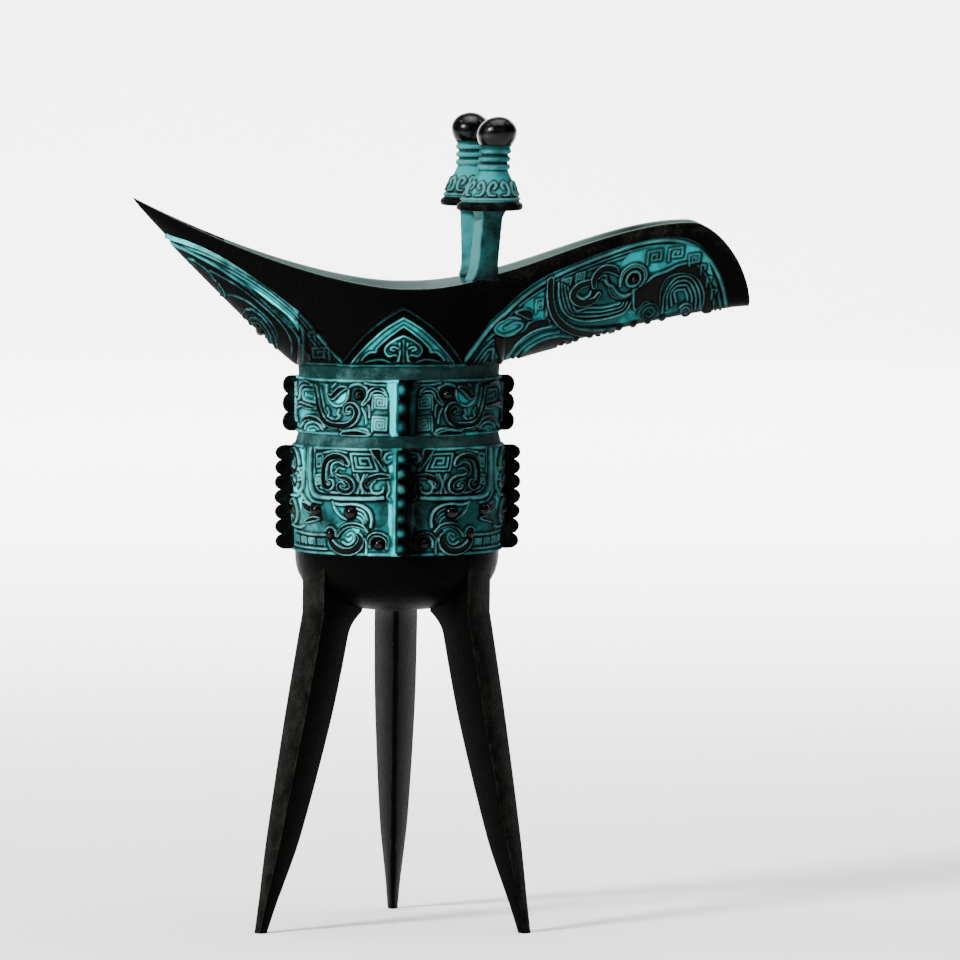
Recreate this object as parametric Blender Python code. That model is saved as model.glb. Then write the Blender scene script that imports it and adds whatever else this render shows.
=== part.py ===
"""A small cast bronze jue: a wine cup on three blade legs, with a pouring spout, a pointed tail,
two capped posts on the rim, six toothed flanges, a strap handle at the back and raised ornament.

The whole cup is one casting, so it is one object. X runs from the tail (-X) to the spout (+X), the
handle is at the back (+Y), and +Z is up. Sizes are in millimetres, and MM turns them into metres.
"""
import math

import bmesh
import bpy
import numpy as np

MM = 0.001

# Heights, one above the other from the ground
LEG_HEIGHT = 83.6
ROUND_HEIGHT = 15.9
LOWER_BAND = 28.3
WAIST = 3.0
UPPER_BAND = 14.8
NECK_BAND = 3.4
MOUTH_DEPTH = 20.4

# Bowl, measured on the ground that the ornament stands on
BOTTOM_HALF = 26.9
BELLY_HALF = 27.4
WAIST_HALF = 27.2
UPPER_HALF = 26.4
NECK_HALF = 26.6
OVAL = 0.93
WALL = 2.4
FLOOR = 2.8
ROUND_POWER = 2.5

# Mouth
RIM_HALF = 25.6
TAIL_LENGTH = 70.6
TAIL_RISE = 23.2
TAIL_SWEEP = 1.58
TAIL_BELLY = 1.7
SPOUT_LENGTH = 92.2
SPOUT_RISE = 16.7
LIP_RISE = 14.5
LIP_FALL = 16.0
LIP_CURVE = 1.7
SPOUT_HALF = 14.2
SPOUT_TAPER = 3.7
SPOUT_SPREAD = 21.0
TAIL_ROUND = 1.5
SPOUT_ROUND = 2.3
TAIL_TAPER = 1.45
KEEL_CURVE = 1.4
SPREAD_CURVE = 3.2
TAPER_CURVE = 1.2
NECK_SWEEP = 1.6
NECK_BLEND = 3
SPOUT_START = 4.0

# Legs
LEG_ANGLES = (-152.5, -32.5, 87.5)
LEG_TOP_RADIUS = 25.3
FOOT_RADIUS = 41.2
LEG_WIDTH = 11.7
LEG_RIDGE = 1.6
LEG_ARCH = 3.0
LEG_TOP_SHARE = 0.8
LEAN = 0.012

# Share of a leg's height, and of its width there
LEG_PROFILE = ((0.0, 0.256), (0.1, 0.376), (0.2, 0.538), (0.3, 0.675), (0.5, 0.838), (0.7, 0.957),
               (0.9, 1.0), (1.0, 1.0))

# Posts and caps
POST_ALONG = 20.7
POST_INSET = 3.6
POST_TURN = 15.0
POST_SPLAY = 5.0
POST_WIDTH = 6.0
POST_DEPTH = 6.8
POST_ROOT = 2.4
POST_CORNER = 0.6
POST_RISE = 20.2
CAP_RADIUS = 8.7
CAP_HEIGHT = 25.4
BALL_RADIUS = 5.2
NEAR_LEAN = 4.8
FAR_LEAN = -2.0

# Foot of a post: rise over its root, and share of its width and depth there
POST_FOOT = ((0.0, 1.3, 0.6), (POST_ROOT, 1.3, 1.0), (POST_ROOT + 1.6, 1.1, 1.0), (POST_ROOT + 4.0, 1.0, 1.0))
# Top of a post: rise over the cap's base, and the same shares
POST_HEAD = ((-1.2, 1.0, 1.0), (0.9, 1.25, 1.25))
# Cap: share of its radius, and rise over its base
CAP_DISC = ((0.943, 0.0), (1.0, 0.6), (1.0, 2.0))
CAP_SKIRT = ((0.908, 2.6), (0.747, 5.8), (0.414, 10.0))
CAP_RINGS = ((0.448, 11.4), (0.448, 12.5), (0.368, 13.1), (0.448, 13.8), (0.402, 15.6))
BALL_TILTS = (-40, -8, 24, 58)

# Flanges
FLANGE_THICKNESS = 2.8
LOWER_FLANGE_REACH = 5.0
UPPER_FLANGE_REACH = 4.1
LOWER_LOBES = 7
UPPER_LOBES = 3
FLANGE_ROOT = 1.3
LOWER_GAPS = (0.3, 0.6)
UPPER_GAPS = (0.2, 0.0)

# One tooth: share of its pitch, and share of the flange's reach
FLANGE_TOOTH = ((0.05, 0.62), (0.3, 1.03), (0.7, 1.03), (0.95, 0.62))

# Handle
HANDLE_RISE = 7.5
HANDLE_HEIGHT = 34.0
HANDLE_REACH = 14.0
HANDLE_WIDTH = 7.5
HANDLE_THICKNESS = 3.6
HANDLE_ROOT = 1.4
HANDLE_TILTS = (60, 35, 10, -15, -40, -62)
HEAD_RISE = 2.6
EAR_PLACE = 3.4
EAR_THICKNESS = 2.4

# Head over the handle: how far out, half its width, and the drop of its brow
HEAD_PROFILE = ((-1.2, 4.6, 0.0), (3.2, 4.9, 0.0), (6.6, 4.2, 0.8), (10.5, 3.0, 2.6))
# Ear: rise over the brow, and half its width
EAR_PROFILE = ((-1.0, 1.5), (1.6, 1.2), (3.0, 0.6))

# Raised ornament
RELIEF = 0.85
RELIEF_ROOT = 0.9
BEVEL = 0.35
QUARTER_ARC = 41.0

# The hollow is cut out through the mouth and the spout's end with this much to spare
LID_OVER = 0.4
RUN_OUT = 3.0

# Facets
RING_SIDES = 32
MOUTH_ROWS = 4
CAP_SIDES = 12
TAIL_STEPS = 6
SPOUT_STEPS = 10
OUTER_ROUND_ROWS = (0.55, 0.25, 0.08, 0.01)
INNER_ROUND_ROWS = (0.5, 0.2, 0.03)
CREASE = 35.0

BOWL_FOOT = LEG_HEIGHT
BAND_FOOT = BOWL_FOOT + ROUND_HEIGHT
WAIST_FOOT = BAND_FOOT + LOWER_BAND
UPPER_FOOT = WAIST_FOOT + WAIST
UPPER_TOP = UPPER_FOOT + UPPER_BAND
NECK = UPPER_TOP + NECK_BAND
RIM_LOW = NECK + MOUTH_DEPTH
LIP = NECK + LIP_RISE
CAP_BASE = RIM_LOW + POST_RISE
HANDLE_FOOT = BAND_FOOT + HANDLE_RISE
HANDLE_TOP = HANDLE_FOOT + HANDLE_HEIGHT


def ease(share):
    """0 to 1 with a soft start and end."""
    share = min(max(share, 0.0), 1.0)
    return share * share * (3.0 - 2.0 * share)


class Wall:
    """One face of the vessel's wall: the outside, or a face set in from it by a depth."""

    TAIL_PINCH = 2.2
    CORNER_RISE = 0.5

    def __init__(self, depth, floor=0.0, run_out=0.0):
        self.depth = depth
        self.foot = BOWL_FOOT + floor
        self.neck = NECK + self.CORNER_RISE * depth
        self.neck_half = NECK_HALF - depth
        self.tail = TAIL_LENGTH - self.TAIL_PINCH * depth
        self.spout = SPOUT_LENGTH + run_out
        self.rim_half = RIM_HALF - depth
        self.lip = LIP + depth
        self.rounded = run_out == 0.0

    def bowl_half(self, height):
        """Half the bowl's length at a height."""
        if height < BAND_FOOT:
            share = (BAND_FOOT - height) / (BAND_FOOT - self.foot)
            round_share = max(1.0 - share ** ROUND_POWER, 0.0) ** (1.0 / ROUND_POWER)
            return (BOTTOM_HALF - self.depth) * round_share
        heights = (BAND_FOOT, BAND_FOOT + LOWER_BAND / 2, WAIST_FOOT, UPPER_FOOT, UPPER_TOP, NECK)
        halves = (BOTTOM_HALF, BELLY_HALF, WAIST_HALF, UPPER_HALF, UPPER_HALF, NECK_HALF)
        return float(np.interp(height, heights, halves)) - self.depth

    def bowl_point(self, angle, height):
        """Point of the bowl; angle 0 is under the spout and 90 degrees is the back."""
        half = self.bowl_half(height)
        return (half * math.cos(angle), half * OVAL * math.sin(angle), height)

    def rim_uncut(self, x):
        """Height of the rim before the spout's end is rounded off."""
        if x < 0:
            return RIM_LOW + TAIL_RISE * (-x / TAIL_LENGTH) ** TAIL_SWEEP
        return RIM_LOW + SPOUT_RISE * ease((x - SPOUT_START) / (SPOUT_LENGTH - LIP_FALL - SPOUT_START))

    def rim(self, x):
        """Height of the rim, falling in a slack curve to the lip at the spout's end."""
        crest = SPOUT_LENGTH - LIP_FALL
        top = self.rim_uncut(x)
        if x <= crest or not self.rounded:
            return top
        share = min((x - crest) / LIP_FALL, 1.0)
        return self.lip + (top - self.lip) * (1.0 - share ** LIP_CURVE) ** (1.0 / LIP_CURVE)

    def keel(self, x):
        """Height of the wall's lowest line, under the tail, the neck or the spout."""
        if x < -self.neck_half:
            share = min((-x - self.neck_half) / (self.tail - self.neck_half), 1.0)
            belly = TAIL_BELLY * math.sqrt(max(4.0 * share * (1.0 - share), 0.0))
            return self.neck + (self.rim(-self.tail) - self.neck) * share - belly
        share = min(max((x - self.neck_half) / (self.spout - self.neck_half), 0.0), 1.0)
        return self.neck + (self.lip - self.neck) * (1.0 - (1.0 - share) ** KEEL_CURVE)

    def half_width(self, x):
        """Half the width between the two sides at the rim."""
        if x < 0:
            return self.rim_half * (1.0 - min(-x / self.tail, 1.0) ** TAIL_TAPER)
        spout_half = SPOUT_HALF - self.depth
        flare = (self.rim_half - spout_half) / (1.0 + (x / SPOUT_SPREAD) ** SPREAD_CURVE)
        return spout_half + flare - SPOUT_TAPER * (x / SPOUT_LENGTH) ** TAPER_CURVE

    def side(self, x, height):
        """Half the width between the two sides at a height."""
        keel = self.keel(x)
        share = min(max((height - keel) / max(self.rim_uncut(x) - keel, 1e-6), 0.0), 1.0)
        reach = min(abs(x) / self.neck_half, 1.0)
        foot = self.neck_half * OVAL * math.sqrt(1.0 - reach * reach)
        power = TAIL_ROUND if x < 0 else SPOUT_ROUND
        trough = (1.0 - (1.0 - share) ** power) ** (1.0 / power)
        blend = reach ** NECK_BLEND
        rise = (1.0 - blend) * share ** NECK_SWEEP + blend * trough
        return foot + (self.half_width(x) - foot) * rise


OUTSIDE = Wall(0.0)
INSIDE = Wall(WALL, FLOOR, RUN_OUT)


def mouth_stations(wall):
    """X places of the mouth's sections from the tail tip to the spout's end."""
    tail = [-wall.tail + (wall.tail - wall.neck_half) * (step / TAIL_STEPS) ** 1.2
            for step in range(TAIL_STEPS)]
    neck = [-wall.neck_half * math.cos(2 * math.pi * step / RING_SIDES)
            for step in range(RING_SIDES // 2 + 1)]
    spout = [wall.neck_half + (wall.spout - wall.neck_half) * (1 - (1 - step / SPOUT_STEPS) ** 1.5)
             for step in range(1, SPOUT_STEPS + 1)]
    return tail + neck + spout


def wall_mesh(wall, lid_rise, rows):
    """Closed solid inside one face of the wall: bowl, mouth and a lid over the rim."""
    mesh = bmesh.new()
    stations = mouth_stations(wall)
    first = TAIL_STEPS
    last = first + RING_SIDES // 2

    def vertex(point):
        return mesh.verts.new([MM * value for value in point])

    sides = {}
    for direction in (-1, 1):
        columns = []
        for index, x in enumerate(stations):
            keel = wall.keel(x)
            top = wall.rim(x) + lid_rise
            column = []
            for row in range(MOUTH_ROWS + 1):
                height = keel + (top - keel) * (row / MOUTH_ROWS) ** 1.5
                width = wall.side(x, height)
                point_end = index == 0 or (wall.rounded and index == len(stations) - 1)
                shared = (row == 0 and not first < index < last) or point_end
                if shared and direction == 1:
                    column.append(sides[-1][index][row])
                elif point_end and row > 0:
                    column.append(column[0])
                else:
                    column.append(vertex((x, direction * (0.0 if shared else width), height)))
            columns.append(column)
        sides[direction] = columns

    def face(*corners):
        kept = [corner for place, corner in enumerate(corners) if corner not in corners[:place]]
        if len(kept) > 2:
            mesh.faces.new(kept)

    for direction in (-1, 1):
        for left, right in zip(sides[direction], sides[direction][1:]):
            for row in range(len(left) - 1):
                face(left[row], right[row], right[row + 1], left[row + 1])
    near = sides[-1]
    far = sides[1]
    for index in range(len(stations) - 1):
        face(near[index][-1], near[index + 1][-1], far[index + 1][-1], far[index][-1])
    if not wall.rounded:
        for row in range(MOUTH_ROWS):
            face(near[-1][row], near[-1][row + 1], far[-1][row + 1], far[-1][row])

    ring = [sides[-1][index][0] for index in range(first, last + 1)]
    ring += [sides[1][index][0] for index in range(last - 1, first, -1)]
    angles = [math.pi + 2 * math.pi * step / RING_SIDES for step in range(RING_SIDES)]
    for height in rows:
        lower = [vertex(wall.bowl_point(angle, height)) for angle in angles]
        for step in range(RING_SIDES):
            after = (step + 1) % RING_SIDES
            face(ring[step], ring[after], lower[after], lower[step])
        ring = lower
    pole = vertex((0.0, 0.0, wall.foot))
    for step in range(RING_SIDES):
        face(ring[step], ring[(step + 1) % RING_SIDES], pole)
    return mesh


def finish(mesh, name, material=None):
    """Turn a built mesh into an object with its faces pointing out."""
    bmesh.ops.recalc_face_normals(mesh, faces=mesh.faces)
    if mesh.calc_volume(signed=True) < 0:
        bmesh.ops.reverse_faces(mesh, faces=mesh.faces)
    data = bpy.data.meshes.new(name)
    mesh.to_mesh(data)
    mesh.free()
    thing = bpy.data.objects.new(name, data)
    bpy.context.scene.collection.objects.link(thing)
    if material:
        data.materials.append(material)
    return thing


def loft(mesh, sections):
    """Skin a row of sections, each a loop of as many points, and cap both ends."""
    loops = [[mesh.verts.new([MM * value for value in point]) for point in section]
             for section in sections]
    for lower, upper in zip(loops, loops[1:]):
        count = len(lower)
        for step in range(count):
            after = (step + 1) % count
            mesh.faces.new((lower[step], lower[after], upper[after], upper[step]))
    mesh.faces.new(list(reversed(loops[0])))
    mesh.faces.new(loops[-1])


def arc(centre, radius, start, end, steps, end_radius=None):
    """Arc or spiral about a centre, by degrees counted from the first axis."""
    last = radius if end_radius is None else end_radius
    points = []
    for step in range(steps + 1):
        share = step / steps
        angle = math.radians(start + (end - start) * share)
        reach = radius + (last - radius) * share
        points.append((centre[0] + reach * math.cos(angle), centre[1] + reach * math.sin(angle)))
    return points


class Panel:
    """Where ornament lies: two flat measures, across and up, become a place on the vessel."""

    STEP = 0.05

    def point(self, across, up):
        """Place on the bare surface; each kind of panel gives its own."""
        raise NotImplementedError

    def place(self, across, up, lift):
        """Place at a height over the surface."""
        here = self.point(across, up)
        over = self.point(across + self.STEP, up) - self.point(across - self.STEP, up)
        along = self.point(across, up + self.STEP) - self.point(across, up - self.STEP)
        normal = np.cross(over, along)
        normal = normal / np.linalg.norm(normal)
        outward = np.array((here[0] * self.outward_x, here[1], 0.0))
        if normal @ outward < 0:
            normal = -normal
        return here + normal * lift


class BowlPanel(Panel):
    """A quarter of a band round the bowl, measured from the front or back flange."""

    outward_x = 1.0

    def __init__(self, foot, toward, face):
        self.foot = foot
        self.toward = toward
        self.face = face

    def point(self, across, up):
        angle = across / QUARTER_ARC * math.pi / 2
        half = OUTSIDE.bowl_half(self.foot + up)
        return np.array((self.toward * half * math.sin(angle),
                         self.face * half * OVAL * math.cos(angle), self.foot + up))


class MouthPanel(Panel):
    """One side of the mouth, measured along X and up from the neck or the keel."""

    outward_x = 0.0
    LEAST = 0.02

    def __init__(self, face):
        self.face = face

    def point(self, across, up):
        height = OUTSIDE.keel(across) + max(up, self.LEAST)
        return np.array((across, self.face * max(OUTSIDE.side(across, height), self.LEAST), height))


def ribbon(mesh, panel, path, width, height=RELIEF, taper=(1.0, 1.0)):
    """Raised strip with sloping sides along a path on a panel; taper narrows its two ends."""
    path = [np.array(point, float) for point in path]
    count = len(path)
    sections = []
    for index, here in enumerate(path):
        along = path[min(index + 1, count - 1)] - path[max(index - 1, 0)]
        across = np.array((-along[1], along[0])) / max(np.linalg.norm(along), 1e-9)
        scale = taper[0] if index == 0 else taper[1] if index == count - 1 else 1.0
        foot = width / 2 * scale
        top = max(foot - BEVEL, 0.15)
        corners = ((-foot - BEVEL, -RELIEF_ROOT), (-top, height), (top, height),
                   (foot + BEVEL, -RELIEF_ROOT))
        sections.append([panel.place(*(here + across * offset), lift) for offset, lift in corners])
    loft(mesh, sections)


def knob(mesh, panel, centre, radius, height=1.3, sides=6):
    """Low round boss, such as an eye or the bud of a curl."""
    sections = []
    for share, lift in ((1.15, -RELIEF_ROOT), (0.6, height)):
        ring = arc(centre, radius * share, 0, 360 - 360 / sides, sides - 1)
        sections.append([panel.place(across, up, lift) for across, up in ring])
    loft(mesh, sections)


def lower_register(mesh, panel, full):
    """Dragon of the wide band: horn, brow, eye and jaw, and in full its crest, hook and scroll."""
    horn = [(13.8, 24.0), (16.8, 26.9), (21.0, 26.1), (22.8, 22.4), (22.0, 18.8), (19.4, 18.6)]
    ribbon(mesh, panel, horn, 2.0, taper=(0.3, 0.7))
    ribbon(mesh, panel, [(6.8, 10.4), (9.4, 14.4), (18.6, 15.6)], 1.7, taper=(0.5, 0.3))
    knob(mesh, panel, (13.8, 11.6), 2.0, 1.6)
    ribbon(mesh, panel, [(12.0, 5.6), (11.6, 2.4), (16.0, 1.2), (20.2, 3.4), (19.2, 6.8)], 1.9)
    if not full:
        return
    ribbon(mesh, panel, [(26.8, 27.0), (26.8, 17.4), (38.0, 16.5)], 1.4)
    ribbon(mesh, panel, [(19.0, 22.7), (14.8, 22.2), (14.4, 18.4)], 1.8, taper=(0.4, 0.7))
    knob(mesh, panel, (5.8, 4.4), 2.2)
    ribbon(mesh, panel, [(3.6, 20.9), (8.6, 20.6), (8.2, 17.4)], 1.6, taper=(0.4, 0.7))
    knob(mesh, panel, (25.2, 12.3), 1.7)
    ribbon(mesh, panel, [(37.0, 25.6), (31.8, 25.6), (31.0, 22.0), (35.4, 21.4)], 1.6, taper=(0.4, 0.7))
    ribbon(mesh, panel, [(22.8, 4.6), (38.4, 4.9)], 1.3)


def upper_register(mesh, panel, full):
    """Dragon of the narrow band: curled body, and in full its arch, eye, horn and wing."""
    body = [(25.4, 12.4), (22.6, 7.2), (18.6, 4.0), (13.6, 5.0), (13.4, 8.6)]
    ribbon(mesh, panel, body, 1.6, taper=(0.5, 0.8))
    ribbon(mesh, panel, [(24.0, 2.4), (28.4, 5.0), (38.0, 2.4)], 1.4, taper=(0.4, 0.6))
    if not full:
        return
    knob(mesh, panel, (10.8, 11.2), 1.5)
    ribbon(mesh, panel, [(8.4, 1.9), (20.6, 1.4)], 1.3, taper=(0.6, 0.6))
    ribbon(mesh, panel, [(15.0, 12.0), (17.8, 8.9), (21.6, 11.6)], 1.3, taper=(0.5, 0.5))
    ribbon(mesh, panel, [(26.6, 8.4), (33.0, 10.6), (37.6, 9.0)], 1.5, taper=(0.3, 0.6))


def spread(length, *points):
    """Path along the mouth: shares of the spout's or the tail's length, and heights over the keel."""
    return [(share * length, up) for share, up in points]


def spout_panel(mesh, panel, full):
    """Long dragon on one side of the spout, inside its border."""
    reach = SPOUT_LENGTH
    border = spread(reach, (0.189, 3.0), (0.256, 10.9), (0.336, 16.3), (0.434, 19.4), (0.607, 21.5),
                    (0.781, 20.8), (0.863, 16.0), (0.913, 3.0))
    ribbon(mesh, panel, border, 1.5)
    hook = spread(reach, (0.553, 13.8), (0.505, 14.0), (0.495, 9.8), (0.56, 8.8))
    ribbon(mesh, panel, hook, 1.9, taper=(0.4, 0.6))
    knob(mesh, panel, (0.668 * reach, 12.9), 2.2, 1.5)
    rump = spread(reach, (0.72, 12.8), (0.798, 13.9), (0.855, 9.4), (0.87, 3.0))
    ribbon(mesh, panel, rump, 1.8, taper=(0.4, 0.6))
    if not full:
        return
    divider = spread(reach, (0.423, 15.8), (0.436, 9.8), (0.497, 3.4))
    ribbon(mesh, panel, divider, 1.4)
    brow = spread(reach, (0.551, 16.0), (0.597, 17.7), (0.642, 14.8))
    ribbon(mesh, panel, brow, 1.8, taper=(0.4, 0.6))
    belly = spread(reach, (0.505, 5.2), (0.616, 4.4), (0.653, 7.6), (0.603, 14.0))
    ribbon(mesh, panel, belly, 1.5)
    haunch = spread(reach, (0.761, 4.0), (0.781, 9.8), (0.833, 8.2), (0.831, 3.4))
    ribbon(mesh, panel, haunch, 1.5, taper=(0.5, 0.8))
    leaf = spread(reach, (0.249, 9.2), (0.299, 7.6), (0.347, 9.8))
    ribbon(mesh, panel, leaf, 1.6, taper=(0.4, 0.6))


def tail_panel(mesh, panel):
    """Long feathers and a curl on one side of the tail."""
    reach = -TAIL_LENGTH
    border = spread(reach, (0.246, 2.4), (0.36, 12.2), (0.459, 13.0), (0.609, 10.2), (0.819, 2.4))
    ribbon(mesh, panel, border, 1.5)
    feather = spread(reach, (0.388, 7.6), (0.51, 7.8), (0.751, 1.6))
    ribbon(mesh, panel, feather, 1.8, taper=(0.4, 0.4))
    curl = spread(reach, (0.442, 2.2), (0.49, 5.0), (0.578, 3.4))
    ribbon(mesh, panel, curl, 1.6, taper=(0.6, 0.4))


def neck_leaf(mesh, panel, full):
    """Pointed leaf over the front or back flange, in full with a heart inside it."""
    for toward in (-1, 1):
        ribbon(mesh, panel, [(toward * 0.3, 14.6), (toward * 9.4, 9.6), (toward * 15.4, 1.4)], 1.5)
        if full:
            ribbon(mesh, panel, [(toward * 0.3, 11.2), (toward * 7.0, 7.0), (toward * 12.0, 1.4)], 2.0)
            ribbon(mesh, panel, [(toward * 0.4, 7.6), (toward * 3.8, 5.6), (toward * 2.8, 3.4)], 1.5)
    if full:
        ribbon(mesh, panel, [(0.0, 7.0), (0.0, 1.0)], 1.6)


def flange_outline(foot, top, reach, lobes):
    """Reach and height of a flange's toothed edge, lobe by lobe."""
    pitch = (top - foot) / lobes
    return [(reach * out, foot + (lobe + share) * pitch)
            for lobe in range(lobes) for share, out in FLANGE_TOOTH]


def flange(mesh, angle, foot, top, reach, lobes):
    """One toothed flange standing out of the bowl."""
    outline = flange_outline(foot, top, reach, lobes)
    direction = np.array((math.cos(angle), math.sin(angle), 0.0))
    across = np.array((-math.sin(angle), math.cos(angle), 0.0))
    length_share = math.hypot(math.cos(angle), OVAL * math.sin(angle))
    loop = [(-FLANGE_ROOT, foot)] + outline + [(-FLANGE_ROOT, top)]
    sections = []
    for offset in (-FLANGE_THICKNESS / 2, FLANGE_THICKNESS / 2):
        section = []
        for out, height in loop:
            ground = OUTSIDE.bowl_half(height) * length_share
            section.append(direction * (ground + out) + across * offset + np.array((0, 0, height)))
        sections.append(section)
    loft(mesh, sections)


def leg(mesh, angle):
    """Blade leg: a flat outer face and a ridge inward, drawn down to a small foot."""
    turn = math.radians(angle)
    direction = np.array((math.cos(turn), math.sin(turn), 0.0))
    across = np.array((-math.sin(turn), math.cos(turn), 0.0))
    levels = [(share * BOWL_FOOT, width * LEG_WIDTH) for share, width in LEG_PROFILE]
    levels.append((BOWL_FOOT + LEG_TOP_SHARE * ROUND_HEIGHT, LEG_WIDTH))
    arch_foot = BOWL_FOOT - 2 * LEG_ARCH
    sections = []
    for height, width in levels:
        share = min(height / BOWL_FOOT, 1.0)
        face = FOOT_RADIUS + (LEG_TOP_RADIUS - FOOT_RADIUS) * share
        flare = LEG_ARCH * (max(height - arch_foot, 0.0) / (2 * LEG_ARCH)) ** 2
        depth = width + min(flare, LEG_ARCH)
        ridge = min(LEG_RIDGE, width / 3)
        corners = ((0.0, -width / 2), (0.0, width / 2), (-depth, ridge / 2), (-depth, -ridge / 2))
        sections.append([direction * (face + out) + across * over + np.array((0, 0, height))
                         for out, over in corners])
    loft(mesh, sections)


def chamfered(half_x, half_y, cut_x=1.0, cut_y=1.0):
    """Loop of a block's section with its corners cut; each cut is the share of that side it leaves."""
    corners = ((-1, -cut_y), (-cut_x, -1), (cut_x, -1), (1, -cut_y),
               (1, cut_y), (cut_x, 1), (-cut_x, 1), (-1, cut_y))
    return [(half_x * x, half_y * y) for x, y in corners]


def cap_profile():
    """Radius and height of a cap: disc, swept skirt, two rings, neck and ball."""
    centre = CAP_HEIGHT - BALL_RADIUS
    turned = [(CAP_RADIUS * share, rise) for share, rise in CAP_DISC + CAP_SKIRT + CAP_RINGS]
    tilts = [math.radians(tilt) for tilt in BALL_TILTS]
    return turned + [(BALL_RADIUS * math.cos(tilt), centre + BALL_RADIUS * math.sin(tilt)) for tilt in tilts]


def post(mesh, side, lean):
    """Square post on the rim that carries a cap; lean tips it toward the spout and the splay outward."""
    base_x = POST_ALONG
    rim = OUTSIDE.rim(base_x)
    base_y = side * (OUTSIDE.side(base_x, rim) - POST_INSET)
    foot = rim - POST_ROOT
    turn = side * math.radians(-POST_TURN)
    tip = math.tan(math.radians(lean))
    splay = side * math.tan(math.radians(POST_SPLAY))

    def at(out_x, out_y, height):
        x = base_x + out_x * math.cos(turn) - out_y * math.sin(turn) + tip * (height - foot)
        y = base_y + out_x * math.sin(turn) + out_y * math.cos(turn) + splay * (height - foot)
        return (x, y, height)

    levels = [(foot + rise, wide, deep) for rise, wide, deep in POST_FOOT]
    levels += [(CAP_BASE + rise, wide, deep) for rise, wide, deep in POST_HEAD]
    sections = []
    for height, wide, deep in levels:
        loop = chamfered(POST_WIDTH / 2 * wide, POST_DEPTH / 2 * deep, POST_CORNER, POST_CORNER)
        sections.append([at(out_x, out_y, height) for out_x, out_y in loop])
    loft(mesh, sections)
    rings = []
    for radius, rise in cap_profile():
        ring = arc((0.0, 0.0), radius, 0, 360 - 360 / CAP_SIDES, CAP_SIDES - 1)
        rings.append([at(out_x, out_y, CAP_BASE + rise) for out_x, out_y in ring])
    loft(mesh, rings)


def handle_route():
    """Y and Z of the handle's middle line, out of the wall, round and back into it."""
    wall_top = OUTSIDE.bowl_half(HANDLE_TOP) * OVAL
    wall_foot = OUTSIDE.bowl_half(HANDLE_FOOT) * OVAL
    half = HANDLE_THICKNESS / 2
    middle = (HANDLE_TOP + HANDLE_FOOT) / 2
    rise = HANDLE_HEIGHT / 2 - half
    reach = HANDLE_REACH - half
    route = [(wall_top - HANDLE_ROOT, HANDLE_TOP - half), (wall_top + 0.45 * reach, HANDLE_TOP - half)]
    for tilt in HANDLE_TILTS:
        angle = math.radians(tilt)
        out = wall_top + reach * (0.5 + 0.5 * math.cos(angle))
        route.append((out, middle + rise * 0.96 * math.sin(angle)))
    low = HANDLE_FOOT + half
    return route + [(wall_foot + 0.35 * reach, low), (wall_foot - HANDLE_ROOT, low)]


def handle(mesh):
    """Strap handle at the back, over the rear leg."""
    route = handle_route()
    loop = chamfered(HANDLE_WIDTH / 2, HANDLE_THICKNESS / 2, 0.7, 0.5)
    sections = []
    for index, (y, z) in enumerate(route):
        before = route[max(index - 1, 0)]
        after = route[min(index + 1, len(route) - 1)]
        along = np.array((after[0] - before[0], after[1] - before[1]))
        along = along / np.linalg.norm(along)
        sections.append([(over, y - along[1] * out, z + along[0] * out) for over, out in loop])
    loft(mesh, sections)


def animal_head(mesh):
    """Plain head over the top of the handle: a tapering block with two ears."""
    wall_top = OUTSIDE.bowl_half(HANDLE_TOP) * OVAL
    low = HANDLE_TOP - HANDLE_THICKNESS - 0.6
    brow = HANDLE_TOP + HEAD_RISE
    sections = []
    for out, half, drop in HEAD_PROFILE:
        y = wall_top + out
        top = brow - drop
        sections.append([(-half, y, low), (half, y, low), (half, y, top - 1.2), (half * 0.6, y, top),
                         (-half * 0.6, y, top), (-half, y, top - 1.2)])
    loft(mesh, sections)
    for side in (-1, 1):
        middle = side * EAR_PLACE
        front = wall_top + 1.0
        back = front + EAR_THICKNESS
        ear = [[(middle - half, front, brow + rise), (middle + half, front, brow + rise),
                (middle + half, back, brow + rise), (middle - half, back, brow + rise)]
               for rise, half in EAR_PROFILE]
        loft(mesh, ear)


def ornament(mesh):
    """All the raised ornament of the bowl, the mouth and the neck; the back's is plainer."""
    for face in (-1, 1):
        full = face < 0
        for toward in (-1, 1):
            lower_register(mesh, BowlPanel(BAND_FOOT, toward, face), full)
            upper_register(mesh, BowlPanel(UPPER_FOOT, toward, face), full)
        panel = MouthPanel(face)
        spout_panel(mesh, panel, full)
        tail_panel(mesh, panel)
        neck_leaf(mesh, panel, full)


def flanges(mesh):
    """Flanges under the tail and the spout and at the front; the handle takes the back."""
    lower = (BAND_FOOT + LOWER_GAPS[0], WAIST_FOOT - LOWER_GAPS[1], LOWER_FLANGE_REACH, LOWER_LOBES)
    upper = (UPPER_FOOT + UPPER_GAPS[0], UPPER_TOP - UPPER_GAPS[1], UPPER_FLANGE_REACH, UPPER_LOBES)
    for angle in (-math.pi / 2, 0.0, math.pi):
        flange(mesh, angle, *lower)
        flange(mesh, angle, *upper)


def cast_bronze():
    """Dark bronze under a blue-green patina."""
    material = bpy.data.materials.new("patinated_bronze")
    material.use_nodes = True
    shader = material.node_tree.nodes["Principled BSDF"]
    shader.inputs["Base Color"].default_value = (0.03, 0.11, 0.11, 1.0)
    shader.inputs["Metallic"].default_value = 0.5
    shader.inputs["Roughness"].default_value = 0.45
    return material


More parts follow.
